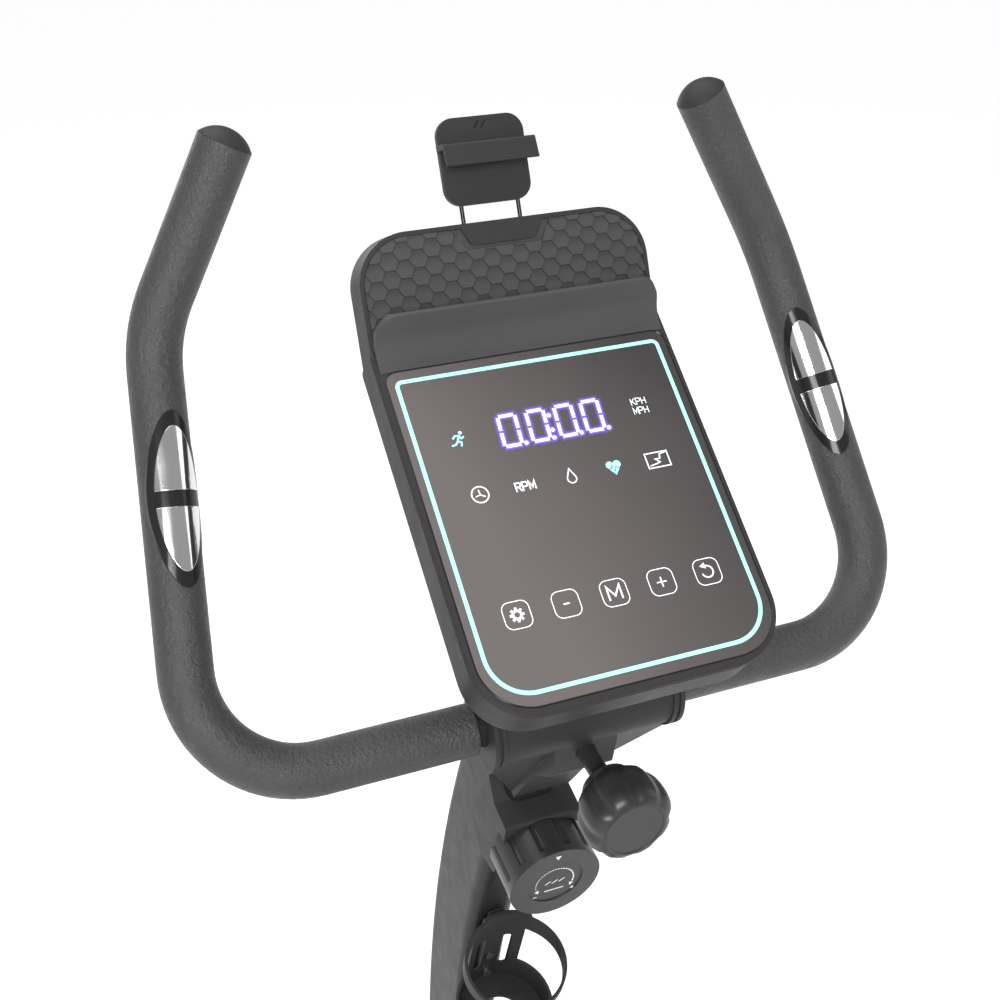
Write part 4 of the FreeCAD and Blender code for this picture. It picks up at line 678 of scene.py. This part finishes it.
def clip_half(points, px, pu, nx, nu):
    """Keeps the side of a polygon where (point - p) . n is not above zero."""
    kept = []
    for index, here in enumerate(points):
        there = points[(index + 1) % len(points)]
        a = (here[0] - px) * nx + (here[1] - pu) * nu
        b = (there[0] - px) * nx + (there[1] - pu) * nu
        if a <= 0:
            kept.append(here)
        if (a < 0 < b) or (b < 0 < a):
            t = a / (a - b)
            kept.append((here[0] + (there[0] - here[0]) * t, here[1] + (there[1] - here[1]) * t))
    return kept


def clip_convex(points, outline):
    for index, here in enumerate(outline):
        there = outline[(index + 1) % len(outline)]
        dx, du = there[0] - here[0], there[1] - here[1]
        if abs(dx) + abs(du) < 1e-9:
            continue
        points = clip_half(points, here[0], here[1], du, -dx)
        if len(points) < 3:
            return []
    return points


def rack_mat():
    """Raised hexagons, each one leaning, cut to the outline of the mat and round the tab."""
    mat_outline = [(MAT_HALF, MAT_LOW)] + arc(MAT_HALF - 30, MAT_TOP - 30, 30, 0, 90, 12)
    mat_outline += arc(-MAT_HALF + 30, MAT_TOP - 30, 30, 90, 180, 12) + [(-MAT_HALF, MAT_LOW)]
    hexes = Shape()
    column_step = 1.5 * HEX_R
    row_step = math.sqrt(3) * HEX_R
    for column in range(-11, 12):
        for row in range(-1, 8):
            cx = column * column_step
            cu = MAT_LOW + row * row_step + (row_step / 2 if column % 2 else 0)
            cell = [(cx + (HEX_R - HEX_GAP) * math.cos(math.radians(60 * k)),
                     cu + (HEX_R - HEX_GAP) * math.sin(math.radians(60 * k))) for k in range(6)]
            cell = clip_convex(cell, mat_outline)
            if len(cell) >= 3 and cu > 44 and abs(cx) < 34:
                if abs(cx) < 25:
                    cell = clip_half(cell, 0, TAB_EDGE, 0, 1)
                else:
                    side = 1 if cx > 0 else -1
                    cell = clip_half(cell, side * TAB_SIDE, TAB_EDGE, -side * 0.88, 0.47) if cu > 50 else cell
            if len(cell) < 3:
                continue
            top = [rack.at(x, u, -0.4 - (u - cu) * 0.24 + (x - cx) * 0.05) for x, u in cell]
            foot = [rack.at(x, u, -2.4) for x, u in cell]
            count = len(cell)
            faces = [tuple(range(count))]
            faces += [(i, (i + 1) % count, count + (i + 1) % count, count + i) for i in range(count)]
            hexes.add(top + foot, faces)
    plate(hexes, rack, mat_outline, -2.6, -2.0)
    hexes.make("rack_mat_hexagons", "mat", "frame", smooth=False, replaces=("rack_mat",))


def holder_marks():
    """Two plain slanted marks pressed into the sliding plate."""
    marks = Shape()
    for shift in (-2.2, 2.2):
        stroke(marks, rack, [(shift - 1.6, 129.2 - 2.6), (shift + 1.6, 129.2 + 1.6)], 1.1, -13.68)
    marks.make("holder_marks", "gloss_black", "phone_holder", smooth=False)


# ---------------------------------------------------------------- knobs

KNOB_TILT = math.radians(9.0)
KNOB_FOOT = Vector((0, 0.165, 0.876))
KNOB_LENGTH = 39.0
DIAL_R = 15.0
DIAL_SWEEP = 220
DIAL_TICKS = 25
BAR_AXIS = Vector((0, 104.0, 1051.5)) * MM
T_DROP = 24.0
T_TILT = math.radians(3.8)
T_LOBES = 8
T_LOBE_DEPTH = 2.3
T_SIDES = 192
T_PROFILE = ((59.2, 13), (59.2, 21), (60.2, 24), (63, 26.4), (68, 28.2), (74, 29), (80, 29), (84.5, 28.3),
             (88, 26.8), (90.4, 24.6), (91.9, 22), (92.5, 19.8), (92.4, 19.2), (91.9, 18.9), (91.8, 0))


def tension_dial():
    """Printed scale of growing ticks with an arrow at each end, and generic bars."""
    knob_axis = Vector((0, -math.cos(KNOB_TILT), -math.sin(KNOB_TILT)))
    knob_face = KNOB_FOOT + knob_axis * KNOB_LENGTH * MM
    dial = Plane(knob_face, (1, 0, 0), (0, -math.sin(KNOB_TILT), math.cos(KNOB_TILT)))
    scale = Shape()
    for index in range(DIAL_TICKS):
        a0 = 200 - index * DIAL_SWEEP / DIAL_TICKS
        wide = 0.35 + 0.75 * index / (DIAL_TICKS - 1)
        stroke(scale, dial, arc(0, -1.0, DIAL_R, a0, a0 - DIAL_SWEEP / DIAL_TICKS * 0.72, 3), wide, 0.12)
    for angle, way in ((203, 1), (-23, -1)):
        a = math.radians(angle)
        cx, cu = DIAL_R * math.cos(a), -1.0 + DIAL_R * math.sin(a)
        tx, tu = -math.sin(a) * way, math.cos(a) * way
        nx, nu = math.cos(a), math.sin(a)
        plate(scale, dial, [(cx + nx * 1.9, cu + nu * 1.9), (cx - nx * 1.9, cu - nu * 1.9),
                            (cx + tx * 3.4, cu + tu * 3.4)][::way], 0.05, 0.12)
    for x0 in (-15.0, 15.0):
        stroke(scale, dial, [(x0 - 1.6, -13.6), (x0 + 1.6, -13.6)], 0.7, 0.12)
    stroke(scale, dial, [(15.0, -15.2), (15.0, -12.0)], 0.7, 0.13)
    stroke(scale, dial, [(-7.5, -9.5), (7.5, -9.5)], 0.9, 0.12)
    for shift in (-5.5, 0, 5.5):
        stroke(scale, dial, [(shift - 2.2, -1.6), (shift + 2.2, 1.0)], 0.8, 0.12)
    plate(scale, dial, [(-2.3, 30.2), (0, 26.2), (2.3, 30.2)], 1.04, 1.16)
    scale.make("tension_dial_print", "print_white", "tension_knob", smooth=False)


def t_knob_handle():
    """Lobed knob with a sunken disc in its face, its collar, sleeve and bolt."""
    t_axis = Vector((0, -math.cos(T_TILT), -math.sin(T_TILT)))
    t_root = BAR_AXIS + Vector((0, 0, -T_DROP * MM))
    handle = Shape()
    t_side = Vector((1, 0, 0))
    t_up = t_axis.cross(t_side)
    vertices, faces = [], []
    for along, radius in T_PROFILE:
        for j in range(T_SIDES):
            a = 2 * math.pi * j / T_SIDES
            lobe = (0.5 + 0.5 * math.cos(T_LOBES * a)) ** 2.5
            depth = T_LOBE_DEPTH * lobe * min(1.0, max(0.0, (radius - 20.5) / 6.0))
            spoke = (t_side * math.cos(a) + t_up * math.sin(a)) * max(0.01, radius - depth)
            vertices.append(t_root + (t_axis * along + spoke) * MM)
    for i in range(len(T_PROFILE) - 1):
        for j in range(T_SIDES):
            k = (j + 1) % T_SIDES
            faces.append((i * T_SIDES + j, i * T_SIDES + k, (i + 1) * T_SIDES + k, (i + 1) * T_SIDES + j))
    handle.add(vertices, faces)
    collar = [(49.5, 6), (49.5, 15.6), (50.4, 16.8), (58.4, 17.0), (60.0, 16.4)]
    lathe(handle, t_root, t_axis, collar, sides=64)
    lathe(handle, t_root, t_axis, [(8, 0), (8, 6.5), (50, 6.5), (50, 0)], sides=48)
    lathe(handle, t_root, t_axis, [(-30, 0), (-30, 3.4), (-29.4, 4), (9, 4), (9, 0)], sides=32)
    handle.make("t_knob_handle", "knob", "t_knob", replaces=("t_knob",))


# ---------------------------------------------------------------- screws, welds, trim

SHROUD_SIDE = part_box("shroud_right")[1].x / MM
POST_HALF_WIDTH = 20.6
POST_HALF_DEPTH = 43.1
POST_Y = 354
SEAT_Y = -252
CRANK_Y = -80
CRANK_Z = 290
SEAT_LEAN = math.radians(8.5)
SEAT_POST_R = 19.02
MARK_LOW = 0.558
MARK_PITCH = 0.018


def console_screws():
    screws = Shape()
    for x in (-80, 80):
        for u in (12, 190):
            screw(screws, console.at(x, u, -41.9), -console.out, 3.2)
    for x in (-48, 48):
        screw(screws, rack.at(x, 40, -24.9), -rack.out, 3.0)
    screws.make("console_screws", "zinc", "frame")


def shroud_screws_and_trim():
    """Screws round both shrouds and a dished ring round each crank."""
    body_screws = Shape()
    trim = Shape()
    for side in (-1, 1):
        for y, z in ((-186, 150), (-186, 350), (286, 150), (286, 352), (30, 440), (180, 440), (60, 146)):
            screw(body_screws, (side * SHROUD_SIDE * MM, y * MM, z * MM), (side, 0, 0), 4.2)
        lathe(trim, (side * SHROUD_SIDE * MM, CRANK_Y * MM, CRANK_Z * MM), (side, 0, 0),
              [(-1.0, 62), (1.2, 62), (2.4, 60), (2.4, 55), (1.0, 53.5), (1.0, 21), (-1.0, 21)], sides=64)
    body_screws.make("shroud_screws", "zinc", "frame")
    trim.make("shroud_crank_trim", "lip", "frame")


def shroud_accent_lines():
    """Two bright curves along each shroud, each one cubic Bezier curve."""
    accent = Shape()
    for side in (-1, 1):
        face = Plane((side * SHROUD_SIDE * MM, 0, 0), (0, side, 0), (0, 0, 1))
        for inset, width in ((0, 1.6), (7, 0.8)):
            path = [(side * -176.0, 200.0 + inset), (side * 20.0, 400.0 - inset),
                    (side * 190.0, 420.0 - inset), (side * 276.0, 340.0)]
            smooth_path = []
            for t in range(41):
                s = t / 40
                b = [(1 - s) ** 3, 3 * s * (1 - s) ** 2, 3 * s * s * (1 - s), s ** 3]
                smooth_path.append(tuple(sum(b[k] * path[k][way] for k in range(4)) for way in (0, 1)))
            stroke(accent, face, smooth_path, width, 0.35, thick=0.4)
    accent.make("shroud_accent_lines", "chrome", "frame", smooth=False)


def wavy(points, amount):
    """A weld bead's ripples: every other point stands a little further out."""
    centre = sum((Vector(p) for p in points), Vector()) / len(points)
    out = []
    for index, p in enumerate(points):
        away = (Vector(p) - centre).normalized()
        out.append(Vector(p) + away * (amount * MM if index % 2 else 0))
    return out


def frame_welds():
    """Rippled beads where the front post and the seat tube meet the main beam."""
    welds = Shape()
    beam_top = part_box("main_beam")[1].z / MM
    post_outline = rounded_rect(-POST_HALF_WIDTH, POST_HALF_WIDTH, POST_Y - POST_HALF_DEPTH,
                                 POST_Y + POST_HALF_DEPTH, 12.5, 12.5, 8)
    post_ring = []
    for index, (x, y) in enumerate(post_outline):
        ahead = post_outline[(index + 1) % len(post_outline)]
        gap = math.dist((x, y), ahead)
        pieces = max(1, round(gap / 2.6))
        for k in range(pieces):
            t = k / pieces
            post_ring.append(Vector((x + (ahead[0] - x) * t, y + (ahead[1] - y) * t, beam_top + 0.8)) * MM)
    tube(welds, wavy(post_ring, 0.5), 2.2, 8, closed=True)
    seat_ring = [Vector((25.4 * math.cos(2 * math.pi * k / 64), SEAT_Y + 25.7 * math.sin(2 * math.pi * k / 64),
                         beam_top + 0.8)) * MM for k in range(64)]
    tube(welds, [p for p in wavy(seat_ring, 0.5) if abs(p.x) < 26 * MM], 2.2, 8, closed=True)
    welds.make("frame_welds", "paint", "frame")


def pedal_treads():
    """Tread bars along both edges of each pedal, above and below."""
    for name in ("right", "left"):
        low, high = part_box("pedal_" + name)
        top = Plane((0, 0, high.z), (1, 0, 0), (0, 1, 0))
        under = Plane((0, 0, low.z), (1, 0, 0), (0, -1, 0))
        tread = Shape()
        cx, cy = (low.x + high.x) / 2 / MM, (low.y + high.y) / 2 / MM
        for way in (-1, 1):
            for x in range(-32, 33, 8):
                for plane, sign in ((top, 1), (under, -1)):
                    bar = rounded_rect(cx + x - 1.6, cx + x + 1.6, sign * (cy + way * 41.5) - 3.0,
                                       sign * (cy + way * 41.5) + 3.0, 1.2, 1.2, 3)
                    plate(tread, plane, bar, -0.3, 1.3)
        tread.make("pedal_tread_" + name, "rubber", "pedal_" + name)


def seat_post_marks():
    """Height marks across the front of the seat post, above the bush in its lowest position."""
    seat_up = Vector((0, -math.sin(SEAT_LEAN), math.cos(SEAT_LEAN)))
    seat_front = Vector((0, math.cos(SEAT_LEAN), math.sin(SEAT_LEAN)))
    foot = Vector((0, SEAT_Y * MM, 0.120))
    rings = Shape()
    for index in range(3):
        at = foot + seat_up * (MARK_LOW + MARK_PITCH * index)
        half = 16 if index % 2 else 26
        points = []
        for k in range(13):
            a = math.radians(-half + 2 * half * k / 12)
            points.append(at + (Vector((1, 0, 0)) * math.sin(a) + seat_front * math.cos(a)) * SEAT_POST_R * MM)
        tube(rings, points, 0.35, 6)
    rings.make("seat_post_marks", "knob", "seat_post")


# ---------------------------------------------------------------- saddle

pad_low, pad_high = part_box("saddle_pad")
LENGTH = (pad_high.y - pad_low.y) / MM
WIDTH = (pad_high.x - pad_low.x) / MM
CROSS_SEAM = 0.31


def saddle_half(t):
    """Half width of the saddle along its length, t from 0 at the back to 1 at the nose."""
    wide, nose = WIDTH / 2 - 2, 29.0
    back = min(1.0, t / 0.16)
    tail = math.sqrt(max(0.0, 1 - (1 - back) ** 2))
    front = min(1.0, (1 - t) / 0.09)
    tip = math.sqrt(max(0.0, 1 - (1 - front) ** 2))
    s = min(1.0, max(0.0, (t - 0.22) / 0.56))
    blend = s * s * (3 - 2 * s)
    return max(1.5, (wide + (nose - wide) * blend) * tail * tip)


def saddle_top(t, s):
    """Height of the crown, s from -1 to 1 across: raised tail, dipped middle, a channel along the centre."""
    tail = 52.0 + 8.0 * max(0.0, 1 - t / 0.25) - 7.0 * math.sin(math.pi * min(1, t / 0.75)) * 0.6
    nose_drop = 12.0 * max(0.0, (t - 0.78) / 0.22) ** 2
    crown = (1 - abs(s) ** 3.2) ** 0.5
    channel = 5.5 * math.exp(-(s / 0.14) ** 2) * math.exp(-((t - 0.45) / 0.28) ** 4)
    return 14.0 + (tail - nose_drop - 14.0) * crown - channel


def build_saddle():
    shape = Shape()
    rows, columns = 60, 36
    top, bottom = [], []
    for i in range(rows + 1):
        t = i / rows
        y = pad_low.y / MM + 3 + t * (LENGTH - 6)
        half = saddle_half(0.004 + 0.992 * t)
        top_row, bottom_row = [], []
        for j in range(columns + 1):
            s = math.sin(math.pi / 2 * (-1 + 2 * j / columns))
            top_row.append(Vector((half * s, y, pad_low.z / MM + saddle_top(t, s) - 2)) * MM)
            bottom_row.append(Vector((half * 0.97 * s, y, pad_low.z / MM + 0.6 + 8 * (abs(s) ** 8))) * MM)
        top.append(top_row)
        bottom.append(bottom_row)
    vertices = [v for row in top for v in row] + [v for row in bottom for v in row]
    width = columns + 1
    offset = (rows + 1) * width
    faces = []
    for i in range(rows):
        for j in range(columns):
            a = i * width + j
            faces.append((a, a + 1, a + width + 1, a + width))
            faces.append((offset + a + width, offset + a + width + 1, offset + a + 1, offset + a))
    for i in range(rows):
        for j in (0, columns):
            a = i * width + j
            faces.append((a, a + width, offset + a + width, offset + a))
    for i in (0, rows):
        for j in range(columns):
            a = i * width + j
            faces.append((a, a + 1, offset + a + 1, offset + a))
    shape.add(vertices, faces)
    return shape.make("saddle_cushion", "vinyl", "saddle", replaces=("saddle_pad",))


def select_only(target):
    for other in bpy.context.selected_objects:
        other.select_set(False)
    target.select_set(True)
    bpy.context.view_layer.objects.active = target


def swell(target, cap):
    """Fills the cover with a little air in a cloth simulation and keeps the result in the mesh."""
    select_only(target)
    target.data.remesh_voxel_size = 0.0055
    bpy.ops.object.voxel_remesh()
    before = [v.co.copy() for v in target.data.vertices]
    floor_z = pad_low.z + 4 * MM
    held = target.vertex_groups.new(name="held")
    held.add([v.index for v in target.data.vertices if v.co.z < floor_z], 1.0, "REPLACE")
    cloth = target.modifiers.new("Cloth", "CLOTH")
    cloth.settings.use_pressure = True
    cloth.settings.uniform_pressure_force = 4.0
    cloth.settings.effector_weights.gravity = 0.0
    cloth.settings.vertex_group_mass = "held"
    cloth.point_cache.frame_start = 1
    cloth.point_cache.frame_end = 20
    scene = bpy.context.scene
    for number in range(1, 21):
        scene.frame_set(number)
    solved = target.evaluated_get(bpy.context.evaluated_depsgraph_get())
    after = [v.co.copy() for v in solved.data.vertices]
    target.modifiers.remove(cloth)
    scene.frame_set(1)
    for vertex, start, end in zip(target.data.vertices, before, after):
        move = end - start
        if move.length > cap:
            move *= cap / move.length
        vertex.co = start + move
    fit_to_box(target)


def fit_to_box(target):
    """Keeps the cushion within the solid it stands for, and clear of the base under it."""
    for vertex in target.data.vertices:
        vertex.co.x = max(pad_low.x - 0.002, min(pad_high.x + 0.002, vertex.co.x))
        vertex.co.y = max(pad_low.y - 0.002, min(pad_high.y + 0.002, vertex.co.y))
        vertex.co.z = max(pad_low.z + 0.0002, min(pad_high.z + 0.002, vertex.co.z))


def saddle_cushion():
    cushion = build_saddle()
    swell(cushion, 0.006)
    smoother = cushion.modifiers.new("Round", "SUBSURF")
    smoother.levels = 1
    smoother.render_levels = 1
    select_only(cushion)
    bpy.ops.object.modifier_apply(modifier="Round")
    cushion.data.shade_smooth()
    return cushion


def seam_over(cushion, points_xy, lift):
    """Points of a sewn line laid on the top of the cushion."""
    found = []
    for x, y in points_xy:
        hit, spot, normal, index = cushion.ray_cast(Vector((x, y, 1.2)), Vector((0, 0, -1)))
        if hit:
            found.append(spot + normal * lift)
    return found


def saddle_seams(cushion):
    """Two sewn lines along the saddle and one across it."""
    seams = Shape()
    for share in (0.60, -0.60):
        line = []
        for k in range(61):
            t = 0.05 + 0.86 * k / 60
            line.append((saddle_half(t) * share * MM, pad_low.y + (3 + t * (LENGTH - 6)) * MM))
        seam = seam_over(cushion, line, 0.0002)
        if len(seam) > 4:
            tube(seams, seam, 0.7, 8)
    line = [(x * MM, pad_low.y + LENGTH * CROSS_SEAM * MM) for x in range(-60, 61, 3)]
    seam = seam_over(cushion, line, 0.0002)
    if len(seam) > 4:
        tube(seams, seam, 0.7, 8)
    seams.make("saddle_seams", "thread", "saddle")


def saddle_piping():
    piping = Shape()
    loop = []
    for k in range(100):
        t = 0.006 + 0.988 * k / 99
        loop.append((saddle_half(t) * 0.985, pad_low.y / MM + 3 + t * (LENGTH - 6)))
    edge = loop + [(-x, y) for x, y in reversed(loop)]
    tube(piping, [Vector((x, y, pad_low.z / MM + 9.0)) * MM for x, y in edge], 2.2, 8, closed=True)
    piping.make("saddle_piping", "rubber", "saddle")


# ---------------------------------------------------------------- camera, floor and light

def place_camera():
    """The viewpoint of the photograph."""
    camera_data = bpy.data.cameras.new("camera")
    camera_data.sensor_width = 36.0
    camera_data.lens = 49.39
    camera_data.clip_end = 200.0
    camera = bpy.data.objects.new("camera", camera_data)
    bpy.context.scene.collection.objects.link(camera)
    forward = Vector((0.321, 0.803, -0.503)).normalized()
    right = Vector((0.929, -0.370, 0.001))
    right = (right - forward * right.dot(forward)).normalized()
    up = right.cross(forward)
    turn = Matrix((right, up, -forward)).transposed().to_4x4()
    camera.matrix_world = Matrix.Translation((-0.3074, -0.5336, 1.6150)) @ turn
    bpy.context.scene.camera = camera


def lay_floor():
    """Plain pale floor with a little light of its own, so that it stays even."""
    floor_mesh = bpy.data.meshes.new("floor")
    floor_mesh.from_pydata([(-60, -60, 0), (60, -60, 0), (60, 60, 0), (-60, 60, 0)], [], [(0, 1, 2, 3)])
    floor = bpy.data.objects.new("floor", floor_mesh)
    bpy.context.scene.collection.objects.link(floor)
    floor_mesh.materials.append(surface("floor", (0.50, 0.50, 0.50), 0.7, grain=40, bump=0.02, mottle=0.004))
    floor_shader = floor_mesh.materials[0].node_tree.nodes["Principled BSDF"]
    floor_shader.inputs["Emission Color"].default_value = (1, 1, 1, 1)
    floor_shader.inputs["Emission Strength"].default_value = 0.80


def softbox(name, place, target, size, power):
    data = bpy.data.lights.new(name, "AREA")
    data.shape = "RECTANGLE"
    data.size, data.size_y = size
    data.energy = power
    lamp = bpy.data.objects.new(name, data)
    bpy.context.scene.collection.objects.link(lamp)
    lamp.location = place
    lamp.rotation_mode = "QUATERNION"
    lamp.rotation_quaternion = (Vector(target) - Vector(place)).to_track_quat("-Z", "Y")


def light_scene():
    """Key from the rider's side near the camera, a large card overhead, a right fill and a rear fill."""
    softbox("key_light", (-0.9, -1.9, 2.3), (0, 0.15, 1.1), (1.1, 1.1), 62)
    softbox("overhead_card", (-0.3, 0.9, 3.1), (0, 0.3, 1.0), (2.2, 2.0), 42)
    softbox("right_card", (2.6, -0.6, 1.9), (0.2, 0.2, 1.2), (1.2, 1.8), 9)
    softbox("rear_light", (-0.6, 3.4, 1.3), (0, 0.1, 0.8), (2.4, 1.4), 14)

    world = bpy.data.worlds.new("world")
    world.use_nodes = True
    world.node_tree.nodes["Background"].inputs[0].default_value = (1, 1, 1, 1)
    world.node_tree.nodes["Background"].inputs[1].default_value = 0.34
    bpy.context.scene.world = world
    bpy.context.scene.view_settings.view_transform = "Standard"


display_digits()
display_border()
display_icons()
console_rim_ribs()
display_gasket()
rack_mat()
holder_marks()
tension_dial()
t_knob_handle()
console_screws()
shroud_screws_and_trim()
shroud_accent_lines()
frame_welds()
pedal_treads()
seat_post_marks()
saddle = saddle_cushion()
saddle_seams(saddle)
saddle_piping()
place_camera()
lay_floor()
light_scene()
